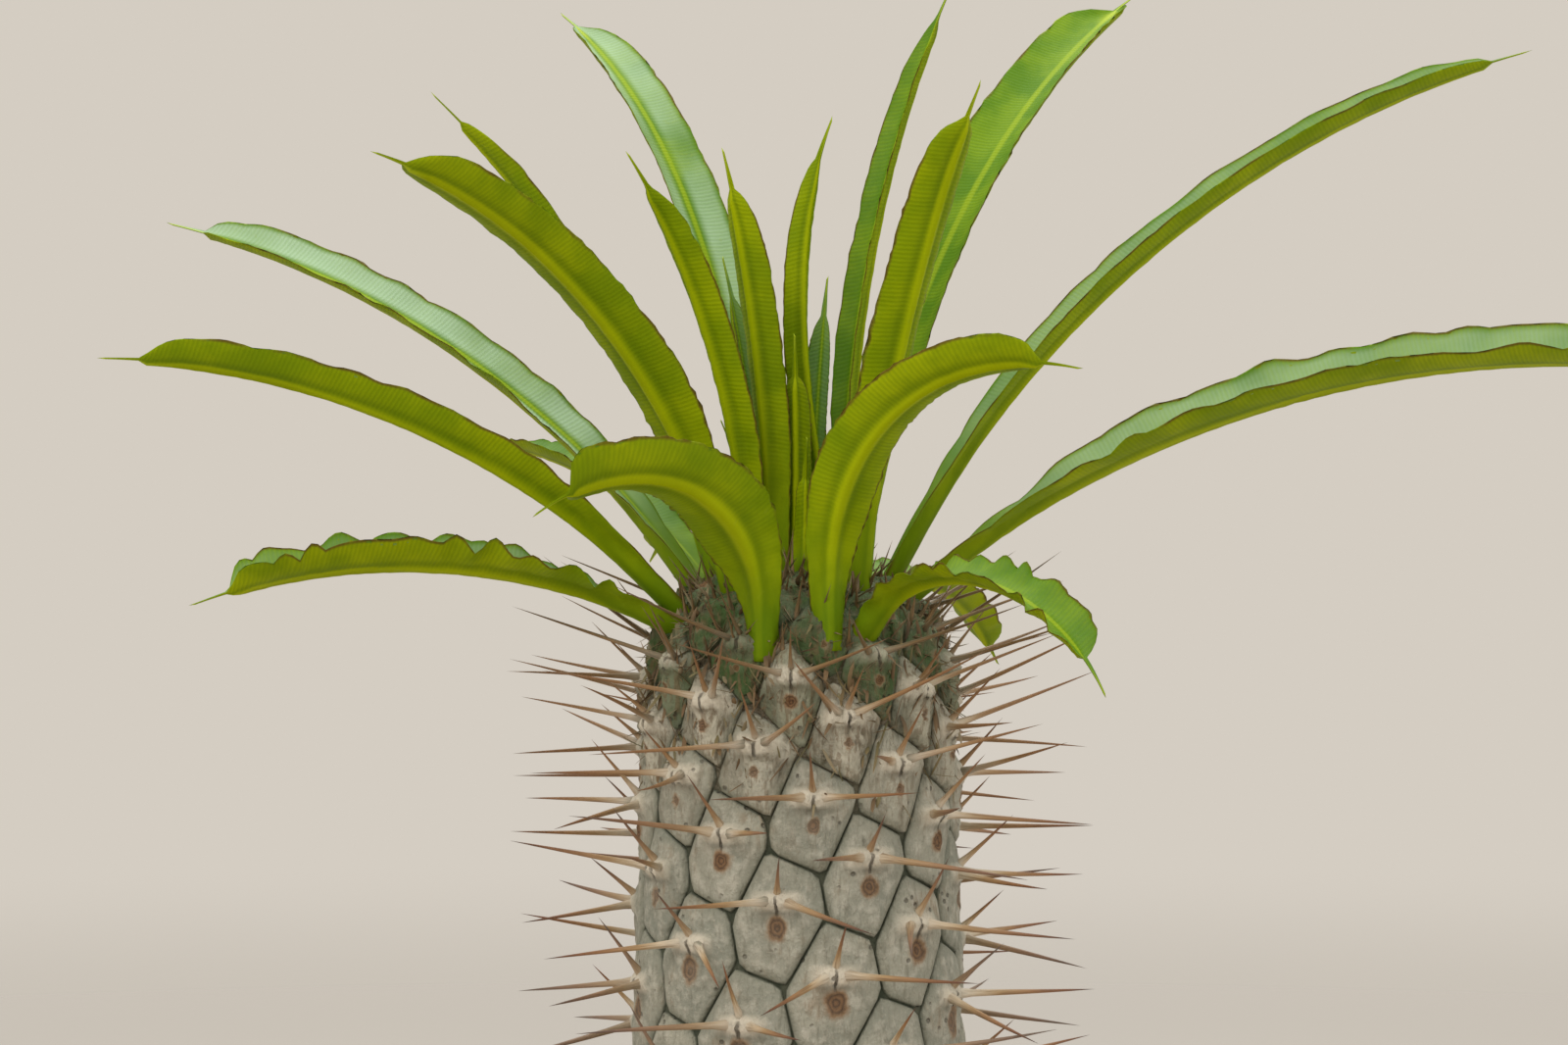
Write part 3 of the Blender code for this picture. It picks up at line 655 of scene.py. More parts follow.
def leaf_midribs(leaves):
    """Points on every leaf's midrib, each with how far its blade reaches there."""
    found = []
    for leaf in leaves:
        for share, point in zip(leaf.shares[::2], leaf.points[::2]):
            if share > 0.01:
                found.append((point, float(leaf.half(float(share))) * 0.9))
    return found


def spine_piece(ball, name, start, direction, length, age, number):
    """One spine: a swollen foot, a long taper with a slight bow, and a sharp tip."""
    draw = random.Random(number)
    share = ball.share**1.5
    start, length = start - direction * SPINE_SUNK, length + SPINE_SUNK
    grown = 0.6 + 0.4 * float(smooth((age - 0.12) / 0.5))
    width = min(1.0, 0.5 + 0.5 * length / SIDE_SPINE_LENGTH) * grown
    foot = 1.15 * MM * hill(share * length, 5.5 * MM)
    taper = 1.2 * MM * np.maximum(1 - share, 0.0) ** 0.75
    radius = (foot + taper) * width
    radius[(share > 1 - 1e-4) | (share < 1e-4)] = 0.0
    bow = length * draw.uniform(-0.05, 0.05) * share**2
    lift = length * draw.uniform(-0.03, 0.05) * share**2
    aside, over = radius * np.cos(ball.angle) + bow, radius * np.sin(ball.angle) + lift
    local = ball.columns([aside, over, share * length])
    facts = share, age, draw.random()
    return ball.copy(name, aimed(local, direction, start), (ball.turn + number * 3.7, share), facts)


def spines(plates, leaves):
    """Three spines on every plate that is old enough, where no leaf and no pot stands in the way."""
    ball = Ball(*SPINE_MESH)
    rng = random.Random(SPINE_SEED)
    midribs = leaf_midribs(leaves)
    made = []
    for plate in plates:
        for side, (start, direction, length) in enumerate(plate_spines(plate, rng)):
            low = min(start.z, start.z + direction.z * length)
            if plate.index < FIRST_SPINED_PLATE or low <= POT_HEIGHT + 3 * MM:
                continue
            if crosses_leaf(start, direction, length, midribs):
                continue
            name, number = f"spine_{plate.index}_{side}", plate.index * 3 + side
            made.append(spine_piece(ball, name, start, direction, length, plate.age, number))
    return ball.join("stem_spines", made)


# Crown: dry scales, prickles and leaf buds round the growing tip


def crown_scales():
    """Dry brown scales and shreds between the leaf bases."""
    ball = Ball(*SCALE_MESH)
    draw = random.Random(SCALE_SEED)
    taper = np.sin(math.pi * np.clip(ball.share * 0.9 + 0.06, 0, 1)) ** 0.7
    made = []
    for number in range(SCALE_COUNT):
        along = draw.triangular(8, 92, 50) * MM
        azimuth = draw.uniform(0, 2 * math.pi)
        length, width = draw.uniform(3.0, 11.0) * MM, draw.uniform(0.25, 0.8) * MM
        lean = draw.uniform(-1.2, 1.6)
        stand = 0.12 + 0.6 * (1 - float(smooth((along - 30 * MM) / (22 * MM))))
        base = on_stem(azimuth, along, -0.4 * MM)[0]
        axis = Vector(on_stem(azimuth, along + length * lean * 0.6, length * stand)[0] - base)
        sideways = rightward(azimuth) * draw.uniform(-0.9, 0.9)
        axis = (axis + sideways * axis.length).normalized()
        curl = draw.uniform(-0.3, 0.3) * length * ball.share**2
        wide, thick = width * taper * np.cos(ball.angle), 0.22 * width * taper * np.sin(ball.angle)
        local = ball.columns([wide + curl, thick + curl * 0.7, ball.share * length])
        facts = ball.share, draw.random(), draw.random()
        made.append(ball.copy(f"scale_{number}", aimed(local, axis, base), None, facts))
    return ball.join("crown_scales", made)


def crown_prickles():
    """Short dark spines that stand close together between the leaf bases."""
    ball = Ball(*PRICKLE_MESH)
    draw = random.Random(PRICKLE_SEED)
    made = []
    for number in range(PRICKLE_COUNT):
        azimuth = draw.uniform(0, 2 * math.pi)
        along = draw.uniform(12, 50) * MM
        start = on_stem(azimuth, along, 0.0)[0]
        lean = outward(azimuth) * draw.uniform(0.1, 0.9)
        aside = Vector([draw.uniform(-0.35, 0.35) for _ in range(3)])
        direction = (lean + aside + Vector((0, 0, 1))).normalized()
        length = draw.uniform(6, 15) * MM
        name = f"prickle_{number}"
        made.append(spine_piece(ball, name, start, direction, length, 0.0, PRICKLE_NUMBERS + number))
    return ball.join("crown_prickles", made)


def crown_buds(leaf_ball):
    """The youngest leaves, still folded, at the growing tip."""
    draw = random.Random(BUD_SEED)
    made = []
    for number in range(BUD_COUNT):
        azimuth, seat, length = number * GOLDEN_ANGLE + 40, 3 + 1.4 * number, 22 + 3.2 * number
        bud = Leaf(f"bud_{number}", azimuth, seat, 88, 80 - 2 * number, length, 0, 1.0, 5.5, 30, 0, 0.0)
        made.append(leaf_piece(leaf_ball, bud, BUD_RIPPLE + number + draw.randint(0, 5)))
    return joined("crown_buds", made)


# Pot and soil


def pot_inside(z):
    """The pot's inner radius at a height."""
    rise = (z - POT_FLOOR) / (POT_HEIGHT - POT_FLOOR)
    return POT_FOOT_RADIUS - POT_WALL + (POT_TOP_RADIUS - POT_FOOT_RADIUS) * rise


def rounded(corners, radius, steps=5):
    """A run of points with each inner corner turned into a short curve."""
    corners = [np.array(corner) for corner in corners]
    found = [corners[0]]
    for before, corner, after in zip(corners, corners[1:], corners[2:]):
        sides = [end - corner for end in (before, after)]
        reach = min(radius, *(0.45 * np.linalg.norm(side) for side in sides))
        a, b = (corner + side / np.linalg.norm(side) * reach for side in sides)
        for t in np.linspace(0.0, 1.0, steps + 1):
            found.append((1 - t) ** 2 * a + 2 * t * (1 - t) * corner + t**2 * b)
    return [*found, corners[-1]]


def lathed(name, profile, segments, rings):
    """A ball drawn out to a turned shape whose profile runs from its upper pole to its lower one."""
    ball = Ball(segments, rings)
    profile = np.array(profile)
    run = np.concatenate([[0], np.cumsum(np.linalg.norm(np.diff(profile, axis=0), axis=1))])
    marks = np.unique(np.concatenate([run, np.linspace(0, run[-1], rings + 1)]))
    while len(marks) > rings + 1:
        gaps = np.diff(marks)
        keep = np.isin(marks, run)
        order = [i for i in np.argsort(gaps) if not keep[i + 1] or not keep[i]]
        drop = order[0] + 1 if not keep[order[0] + 1] else order[0]
        marks = np.delete(marks, drop)
    at = np.interp(ball.share * rings, np.arange(len(marks)), marks)
    radius, z = (np.interp(at, run, column) for column in profile.T)
    obj = ball.copy(name, ball.columns([radius * np.cos(ball.angle), radius * np.sin(ball.angle), z]))
    ball.done()
    return obj


def pot_piece():
    """The clay pot, turned in one, with its drain holes cut through the floor."""
    outer_rim = POT_TOP_RADIUS + RIM_PROUD
    rim_foot = POT_HEIGHT - RIM_HEIGHT
    slope = (POT_TOP_RADIUS - POT_FOOT_RADIUS) / POT_HEIGHT
    corners = [
        (0.0, POT_FLOOR),
        (pot_inside(POT_FLOOR), POT_FLOOR),
        (pot_inside(POT_HEIGHT - 2.5 * MM), POT_HEIGHT - 2.5 * MM),
        (POT_TOP_RADIUS - POT_WALL + 2.5 * MM, POT_HEIGHT),
        (outer_rim - 2 * MM, POT_HEIGHT),
        (outer_rim, POT_HEIGHT - 2 * MM),
        (outer_rim - 1 * MM, rim_foot + 2 * MM),
        (outer_rim - 3 * MM, rim_foot),
        (POT_FOOT_RADIUS + slope * rim_foot, rim_foot),
        (POT_FOOT_RADIUS + slope * 2 * MM, 2 * MM),
        (POT_FOOT_RADIUS - 2 * MM, 0.0),
        (0.0, 0.0),
    ]
    pot = lathed("clay_pot", rounded(corners, 1.6 * MM), *POT_MESH)
    for number in range(DRAIN_COUNT):
        angle = math.radians(45 + 360 / DRAIN_COUNT * number)
        where = (DRAIN_RING_RADIUS * math.sin(angle), DRAIN_RING_RADIUS * math.cos(angle), 0.0)
        depth = 3 * POT_FLOOR
        bpy.ops.mesh.primitive_cylinder_add(vertices=32, radius=DRAIN_RADIUS, depth=depth, location=where)
        drill = bpy.context.object
        bpy.context.view_layer.objects.active = pot
        hole = pot.modifiers.new("drain", "BOOLEAN")
        hole.operation = "DIFFERENCE"
        hole.object = drill
        bpy.ops.object.modifier_apply(modifier="drain")
        bpy.data.objects.remove(drill)
    return pot


def soil_height(across, away):
    """The soil's top: mounded to the stem, with low crumbs."""
    radius = np.hypot(across, away)
    mound = SOIL_TOP - (SOIL_MOUND + 2 * MM) * smooth((radius - 56 * MM) / (24 * MM))
    lumps = Ripple(SOIL_LUMPS, waves=10, longest=22 * MM)(across, away)
    crumbs = Ripple(SOIL_CRUMBS, waves=14, longest=6 * MM)(across, away)
    return mound + 0.7 * MM * lumps + 0.35 * MM * crumbs


def soil_body():
    """The soil as a ring round the stem, filling the pot. part runs round the ring's section from 0 to 1: in
    along the top, down the hole, out along the bottom and back up the pot's wall."""
    round_it, section = SOIL_MESH
    bpy.ops.mesh.primitive_torus_add(
        major_segments=round_it, minor_segments=section, major_radius=1.0, minor_radius=0.25
    )
    obj = bpy.context.object
    obj.name = obj.data.name = "potting_soil"
    where = points_of(obj.data)
    angle = np.arctan2(where[:, 1], where[:, 0])
    ring = np.hypot(where[:, 0], where[:, 1]) - 1.0
    part = (np.arctan2(where[:, 2], ring) / (2 * math.pi)) % 1.0
    outer = pot_inside(SOIL_LEVEL) - SOIL_CLEAR
    foot = pot_inside(POT_FLOOR) - SOIL_CLEAR
    low = POT_FLOOR + 0.4 * MM
    tucked = SOIL_INNER - SOIL_TUCK
    top = np.clip(part / 0.7, 0, 1)
    side, bottom, back = (np.clip((part - start) / 0.1, 0, 1) for start in (0.7, 0.8, 0.9))
    stretches = [part <= 0.7, part <= 0.8, part <= 0.9]
    along_top = SOIL_INNER + (outer - SOIL_INNER) * (1 - top)
    down_hole, along_bottom = SOIL_INNER - SOIL_TUCK * side, tucked + (foot - tucked) * bottom
    radius = np.select(stretches, [along_top, down_hole, along_bottom], foot + (outer - foot) * back)
    x, y = radius * np.cos(angle), radius * np.sin(angle)
    z = soil_height(x, y)
    z = np.select(stretches, [z, z + (low - z) * side, low], low + (z - low) * back)
    obj.data.vertices.foreach_set("co", np.column_stack([x, y, z]).ravel())
    obj.data.update()
    return obj


def soil_grit():
    """Small stones and bark crumbs on the soil."""
    ball = Ball(*GRIT_MESH)
    unit = ball.unit
    draw = random.Random(GRIT_SEED)
    made = []
    for number in range(GRIT_COUNT):
        radius = math.sqrt(draw.uniform(GRIT_FROM**2, GRIT_TO**2)) * MM
        angle = draw.uniform(0, 2 * math.pi)
        size = draw.choice(GRIT_SIZES) * draw.uniform(0.7, 1.25) * MM
        x, y = radius * math.cos(angle), radius * math.sin(angle)
        z = float(soil_height(x, y)) + size * draw.uniform(0.0, 0.45)
        stretch = np.array([draw.uniform(0.7, 1.35), draw.uniform(0.7, 1.2), draw.uniform(0.5, 0.9)])
        ripple = Ripple(number, waves=5, longest=2.2)
        shape = unit * (1 + 0.22 * ripple(unit[:, :1] + unit[:, 2:], unit[:, 1:2])) * stretch * size
        spin = draw.uniform(0, 2 * math.pi)
        turned = ball.columns([
            shape[:, 0] * math.cos(spin) - shape[:, 1] * math.sin(spin),
            shape[:, 0] * math.sin(spin) + shape[:, 1] * math.cos(spin),
            shape[:, 2],
        ])
        facts = [draw.random() for _ in range(3)]
        made.append(ball.copy(f"grit_{number}", turned + np.array([x, y, z]), None, facts))
    return ball.join("soil_grit", made)


# Materials


class Value:
    """A socket with arithmetic: each operator adds a Math node."""

    def __init__(self, finish, socket):
        self.finish = finish
        self.socket = socket

    def math(self, operation, *others):
        values = {i: v for i, v in enumerate((self, *others))}
        return self.finish.node("ShaderNodeMath", {"operation": operation}, values)

    def __add__(self, other):
        return self.math("ADD", other)

    def __sub__(self, other):
        return self.math("SUBTRACT", other)

    def __rsub__(self, other):
        return self.finish.node("ShaderNodeMath", {"operation": "SUBTRACT"}, {0: other, 1: self})

    def __mul__(self, other):
        return self.math("MULTIPLY", other)

    def __truediv__(self, other):
        return self.math("DIVIDE", other)

    def __pow__(self, other):
        return self.math("POWER", other)

    __radd__ = __add__
    __rmul__ = __mul__

    def size(self):
        return self.math("ABSOLUTE")

    def clamped(self):
        return self.finish.node("ShaderNodeClamp", {}, {"Value": self})

    def step(self, low, high):
        """0 below low and 1 above high, with a smooth change between."""
        settings = {"interpolation_type": "SMOOTHSTEP"}
        return self.finish.node("ShaderNodeMapRange", settings, {"Value": self, 1: low, 2: high})


class Finish:
    """A material in the making: its shader, and one way to add any node."""

    def __init__(self, name, **sockets):
        self.material = bpy.data.materials.new(name)
        self.material.use_nodes = True
        self.nodes = self.material.node_tree.nodes
        self.links = self.material.node_tree.links
        self.shader = self.nodes["Principled BSDF"]
        for socket, value in sockets.items():
            self.shader.inputs[socket.replace("_", " ")].default_value = value

    def node(self, kind, settings=None, values=None, out=0):
        """A node of that kind, read at one output: its settings, then a value or link for each socket."""
        node = self.nodes.new(kind)
        for name, value in (settings or {}).items():
            if name == "stops":
                set_stops(node.color_ramp, value)
            else:
                setattr(node, name, value)
        for name, value in (values or {}).items():
            if isinstance(value, Value):
                self.links.new(value.socket, node.inputs[name])
            else:
                node.inputs[name].default_value = value
        return Value(self, node.outputs[out])

    def place(self):
        """Object coordinates, in metres."""
        return self.node("ShaderNodeTexCoord", out="Object")

    def stretched(self, scale, vector=None):
        """Object coordinates, or another vector, with a scale for each axis."""
        return self.node("ShaderNodeMapping", {}, {"Vector": vector or self.place(), "Scale": scale})

    def own_map(self):
        """The piece's own UV map."""
        return self.node("ShaderNodeUVMap", {"uv_map": "UVMap"})

    def split(self, kind, vector):
        """A vector or colour as its numbers."""
        parts = self.node(kind, {}, {0: vector})
        return [Value(self, output) for output in parts.socket.node.outputs]

    def uv(self):
        """The piece's own map as two numbers."""
        return self.split("ShaderNodeSeparateXYZ", self.own_map())[:2]

    def facts(self):
        """The three numbers stored at each point of the piece."""
        stored = self.node("ShaderNodeAttribute", {"attribute_name": "facts"})
        return self.split("ShaderNodeSeparateColor", stored)

    def noise(self, scale, detail=4.0, roughness=0.55, vector=None):
        values = {"Scale": scale, "Detail": detail, "Roughness": roughness}
        return self.node("ShaderNodeTexNoise", {}, {"Vector": vector or self.place(), **values})

    def cells(self, scale):
        return self.node("ShaderNodeTexVoronoi", {}, {"Vector": self.place(), "Scale": scale})

    def blend(self, factor, first, second):
        """first where factor is 0 and second where it is 1. Either may be a colour or a link."""
        values = {"Factor": factor, 6: colour(first), 7: colour(second)}
        return self.node("ShaderNodeMix", {"data_type": "RGBA"}, values, out=2)

    def coats(self, tint, *coats):
        """Colours laid one over another, each as far as its mask says."""
        for mask, over in coats:
            tint = self.blend(mask, tint, over)
        return tint

    def ramp(self, factor, *stops):
        return self.node("ShaderNodeValToRGB", {"stops": stops}, {"Fac": factor})

    def bump(self, height, distance, strength=1.0):
        values = {"Height": height, "Distance": distance, "Strength": strength}
        return self.node("ShaderNodeBump", {}, values)

    def drive(self, **links):
        """Links for the shader's own sockets. What comes back is the material, done."""
        for socket, value in links.items():
            self.links.new(value.socket, self.shader.inputs[socket.replace("_", " ")])
        return self.material


def colour(value):
    """A link as it is, or a colour with its alpha."""
    return value if isinstance(value, Value) else (*value, 1.0)


def set_stops(ramp, stops):
    """A colour ramp's stops in place of its own two."""
    while len(ramp.elements) > 1:
        ramp.elements.remove(ramp.elements[-1])
    ramp.elements[0].position, ramp.elements[0].color = stops[0][0], (*stops[0][1], 1.0)
    for position, value in stops[1:]:
        ramp.elements.new(position).color = (*value, 1.0)


def bark_finish():
    """Silvery grey plates with dark edges, a cream bridge with painted shade under it, a crease, a brown
    leaf scar and small pits. The youngest are green and brown, and round the crown painted shade under the
    leaves darkens them.
    Distances here are in millimetres from the plate's middle."""
    f = Finish("bark_plates", Roughness=0.72, Specular_IOR_Level=0.3)
    edge, age, own = f.facts()
    across, down = ((way - 0.5) * PLATE_MAP for way in f.uv())
    wide, middle, fine = f.noise(70, 5), f.noise(260, 5, 0.62), f.noise(1100, 4)
    grain = f.noise(1, 5, vector=f.stretched((700, 700, 170)))
    young = 1 - age.step(0.3, 0.52)
    valley = (across + (grain - 0.5) * 5).size().step(2.6, 5.5) * (down + 1.5).step(0, 3)
    # Round the crown: the young plates' own dark green and brown, deepened as painted shade under the leaves
    crown = f.blend(grain.step(0.46, 0.62), (0.03, 0.075, 0.008), (0.11, 0.095, 0.035))
    bridge = (1 - (across / 8.0).size() ** 2).clamped() * (1 - ((down + 4.0) / 3.2).size() ** 2).clamped()
    bridge = (bridge * 1.5 * age.step(0.16, 0.32)).clamped() * (0.45 + middle * 0.8).clamped()
    # Painted shade: a darker band just under the raised bridge
    shade_under_bridge = (1 - ((down + 0.3) / 1.6).size()).clamped() * (1 - (across / 7.0).size()).clamped()
    rim = (1 - edge.step(0.0, 0.05)) * (0.95 - young * 0.9)
    halo = (1 - edge.step(0.02, 0.3)) * middle.step(0.36, 0.58)
    scar_size = 1.25 + 2.2 * age.step(0.3, 0.75) + (own - 0.5) * 1.4
    from_scar = (across * across + (down - SCAR_BELOW) ** 2 * (0.4 + own * 0.5)) ** 0.5
    away = (from_scar + (middle - 0.5) * 3.0 + (wide - 0.5) * 2.0) / scar_size
    rings = f.ramp(
        away * 0.6,
        (0.0, (0.2, 0.095, 0.036)), (0.14, (0.06, 0.026, 0.01)), (0.26, (0.21, 0.105, 0.042)),
        (0.38, (0.075, 0.034, 0.014)), (0.52, (0.24, 0.135, 0.062)), (0.8, (0.36, 0.3, 0.22)),
    )
    crease_reach = (1 - ((down + 2.6) / (1.8 + own * 2.4)).size() ** 4).clamped()
    crease = (1 - (across + (middle - 0.5) * 2.4).size().step(0.05, 0.55)) * crease_reach
    pits = (1 - f.cells(260).step(0.08, 0.22)) * wide.step(0.48, 0.58)
    tint = f.coats(
        f.blend((own * 0.45 + wide * 1.3 - 0.5).clamped(), (0.23, 0.238, 0.192), (0.4, 0.378, 0.3)),
        (middle.step(0.42, 0.7) * 0.6, (0.53, 0.5, 0.42)),
        (grain.step(0.5, 0.74) * 0.45, (0.145, 0.135, 0.095)),
        (wide.step(0.54, 0.68) * grain.step(0.4, 0.62) * 0.5, (0.26, 0.19, 0.12)),
        (fine.step(0.55, 0.75) * 0.3, (0.55, 0.5, 0.41)),
        (young * 0.55, (0.6, 0.54, 0.42)),
        (young * grain.step(0.48, 0.6) * 0.6, (0.165, 0.11, 0.06)),
        (young * valley * 0.5, (0.075, 0.07, 0.038)),
        # Plates round the crown: their own green and brown with painted shade under the leaves
        ((1 - age.step(0.21, 0.33)) * (0.6 + wide * 0.6), crown),
        (bridge, (0.64, 0.58, 0.47)),
        # Painted shade under the raised bridge
        (shade_under_bridge * 0.5, (0.12, 0.095, 0.06)),
        (rim, (0.032, 0.04, 0.022)),
        (halo * 0.55, (0.115, 0.13, 0.09)),
        ((1 - away.step(0.75, 1.4)) * (0.7 + own * 0.3), rings),
        (crease * 0.75, (0.055, 0.042, 0.026)),
        (pits * 0.6, (0.075, 0.06, 0.04)),
    )
    height = wide * 0.6 + middle * 0.9 + grain * 1.1 + fine * 0.3 - pits * 0.9 - crease * 0.7
    return f.drive(Base_Color=tint, Roughness=0.58 + grain * 0.25, Normal=f.bump(height, 1.1 * MM, 1.0))


def groove_finish():
    """Dark green-grey between the plates, green tissue at the growing tip."""
    f = Finish("bark_grooves", Roughness=0.85)
    age = f.facts()[1]
    wide, fine = f.noise(160, 5), f.noise(1400, 4)
    dry = f.blend(fine.step(0.4, 0.6), (0.09, 0.07, 0.04), (0.19, 0.16, 0.11))
    tip = f.blend(wide.step(0.42, 0.58), (0.025, 0.06, 0.014), (0.11, 0.085, 0.035))
    tint = f.coats(
        f.blend(wide.step(0.4, 0.65), (0.024, 0.032, 0.016), (0.07, 0.075, 0.048)),
        (1 - age.step(0.26, 0.42), dry),
        ((1 - age.step(0.1, 0.26)) * 0.9, tip),
    )
    return f.drive(Base_Color=tint, Normal=f.bump(wide + fine * 0.5, 0.5 * MM))


def spine_finish():
    """Cream swollen foot, ochre shaft and reddish-brown tip. The youngest are dark, the oldest greyer."""
    f = Finish("spines", Roughness=0.5, Specular_IOR_Level=0.35)
    share, age, own = f.facts()
    streak = f.noise(1, 4, vector=f.stretched((9, 4, 1), f.own_map()))
    at = (share + (streak - 0.5) * 0.3 + (own - 0.5) * 0.22).clamped()
    shaft = f.ramp(
        at,
        (0.02, (0.27, 0.25, 0.19)), (0.1, (0.6, 0.53, 0.42)), (0.22, (0.56, 0.45, 0.31)),
        (0.36, (0.39, 0.25, 0.12)), (0.58, (0.29, 0.145, 0.062)), (0.78, (0.19, 0.075, 0.033)),
        (0.95, (0.07, 0.024, 0.016)),
    )
    young = f.blend(streak.step(0.4, 0.62), (0.055, 0.048, 0.018), (0.21, 0.125, 0.05))
    tint = f.coats(
        shaft,
        (streak.step(0.46, 0.74) * 0.6, (0.115, 0.07, 0.038)),
        ((1 - age.step(0.34, 0.62)) * share.step(0.06, 0.3) * 0.65, (0.255, 0.135, 0.056)),
        ((1 - age.step(0.2, 0.34)) * 0.8, young),
        (age.step(0.3, 0.9) * own.step(0.35, 1.0) * 0.6, (0.24, 0.2, 0.155)),
    )
    return f.drive(Base_Color=tint, Normal=f.bump(streak, 0.25 * MM, 0.8))


def leaf_finish():
    """Waxy green above with a pale sheen, a reflection painted into the colour, and fine cross veins,
    yellow-green below with a bright keel, and a thin dark margin."""
    f = Finish("leaf", Roughness=0.45, Specular_IOR_Level=0.07)
    above, sheen, run_squared = f.facts()
    share = run_squared ** 0.5
    u, v = f.uv()
    side = ((u - 0.5) * 2).size()
    wide, mottle, streak = f.noise(60, 4), f.noise(420, 4), f.noise(26, 3)
    run = v * (1000 / LEAF_MAP) + side * 1.8 + (mottle - 0.5) * 0.5
    wave = f.node("ShaderNodeMath", {"operation": "SINE"}, {0: run * (2 * math.pi / VEIN_STEP)})
    blade = share.step(0.1, 0.35)
    vein = wave * 0.5 * blade + 0.5
    # Painted sheen: a pale reflection painted into the upper face's colour, in patches between the midrib
    # and the edge
    sheen_patches = (streak * 2.2 - 0.45 + sheen * 0.3).clamped()
    painted_sheen_mask = side.step(0.08, 0.4) * (1 - side.step(0.82, 1.0)) * sheen_patches
    upper = f.coats(
        f.blend(wide.step(0.35, 0.65), (0.085, 0.19, 0.004), (0.165, 0.275, 0.006)),
        (vein * 0.35, (0.075, 0.165, 0.01)),
        (painted_sheen_mask * sheen * share.step(0.05, 0.3) * (0.75 + vein * 0.2), (0.36, 0.5, 0.33)),
    )
    under = f.coats(
        f.blend(wide.step(0.35, 0.65), (0.185, 0.255, 0.0), (0.285, 0.35, 0.0)),
        (streak.step(0.42, 0.62) * 0.4, (0.125, 0.215, 0.0)),
        (vein * 0.25, (0.095, 0.155, 0.0)),
    )
    midrib = (1 - side.step(0.04, 0.14)) * above
    keel = (1 - side.step(0.1, 0.3)) * (1 - above)
    beside_keel = side.step(0.12, 0.3) * (1 - side.step(0.3, 0.55)) * (1 - above)
    margin = side.step(0.93, 0.99) * (1 - share.step(0.82, 0.88))
    tint = f.coats(
        f.blend(above, under, upper),
        (midrib * 0.75, (0.26, 0.36, 0.01)),
        (keel * (0.2 + blade * 0.45), (0.38, 0.43, 0.0)),
        (beside_keel * 0.4, (0.08, 0.135, 0.0)),
        ((1 - share.step(0.02, 0.16)) * above * 0.5, (0.2, 0.26, 0.02)),
        ((1 - share.step(0.01, 0.2)) * (0.35 + streak * 0.5), (0.095, 0.19, 0.004)),
        (margin * wide.step(0.36, 0.55) * 0.85, (0.095, 0.045, 0.01)),
        ((share * 8 - side * 0.8).step(7.1, 7.5) * 0.8, (0.36, 0.44, 0.02)),
        (mottle.step(0.62, 0.75) * 0.2, (0.26, 0.32, 0.02)),
    )
    height = vein * 0.5 * (1 - keel) + wide * 1.6 + mottle * 0.6
    rough = 0.55 - above * 0.05 + mottle * 0.12
    return f.drive(Base_Color=tint, Roughness=rough, Normal=f.bump(height, 0.12 * MM, 0.7))


def scale_finish():
    """Dry scales in browns, some still greenish, paler towards their tips."""
    f = Finish("dry_scales", Roughness=0.8)
    share, own = f.facts()[:2]
    dry = f.ramp(
        own,
        (0.0, (0.055, 0.032, 0.014)), (0.4, (0.15, 0.085, 0.035)), (0.7, (0.11, 0.12, 0.045)),
        (1.0, (0.28, 0.23, 0.15)),
    )
    tint = f.blend(share * 0.5, dry, (0.28, 0.19, 0.1))
    return f.drive(Base_Color=tint, Normal=f.bump(f.noise(1500), 0.2 * MM))


def clay_finish():
    """Unglazed clay: fine grain, faint turning lines, pale salt marks and dark specks."""
    f = Finish("clay", Roughness=0.85, Specular_IOR_Level=0.25)
    wide, fine = f.noise(18, 6), f.noise(700, 5)
    lines = f.noise(1, 3, vector=f.stretched((6, 6, 900)))
    salt = f.noise(26, 6, 0.65).step(0.56, 0.74)
    specks = 1 - f.cells(420).step(0.05, 0.14)
    tint = f.coats(
        f.blend(wide.step(0.35, 0.65), (0.42, 0.165, 0.075), (0.55, 0.25, 0.13)),
        (fine.step(0.45, 0.75) * 0.4, (0.33, 0.13, 0.06)),
        (salt * 0.38, (0.7, 0.58, 0.48)),
        (specks * 0.5, (0.2, 0.09, 0.05)),
    )
    return f.drive(Base_Color=tint, Normal=f.bump(lines * 0.9 + fine * 0.6, 0.3 * MM, 0.7))


def soil_finish():
    """Dark potting soil with paler crumbs."""
    f = Finish("soil", Roughness=0.95, Specular_IOR_Level=0.2)
    wide, fine = f.noise(120, 6, 0.7), f.noise(1300, 5, 0.7)
    tint = f.blend(wide.step(0.35, 0.65), (0.035, 0.024, 0.016), (0.105, 0.074, 0.048))
    tint = f.blend(fine.step(0.55, 0.75) * 0.7, tint, (0.2, 0.155, 0.11))
    return f.drive(Base_Color=tint, Normal=f.bump(wide + fine * 0.6, 1.2 * MM))


def grit_finish():
    """Stones from dark brown to pale grey, each of its own shade."""
    f = Finish("grit", Roughness=0.85)
    shade = f.ramp(
        f.facts()[0],
        (0.0, (0.05, 0.034, 0.022)), (0.35, (0.13, 0.09, 0.055)), (0.6, (0.3, 0.25, 0.19)),
        (1.0, (0.52, 0.48, 0.41)),
    )
    tint = f.blend(f.noise(900, 4).step(0.45, 0.7) * 0.5, shade, (0.12, 0.09, 0.065))
    return f.drive(Base_Color=tint, Normal=f.bump(f.noise(1500, 4), 0.3 * MM))


# Stage


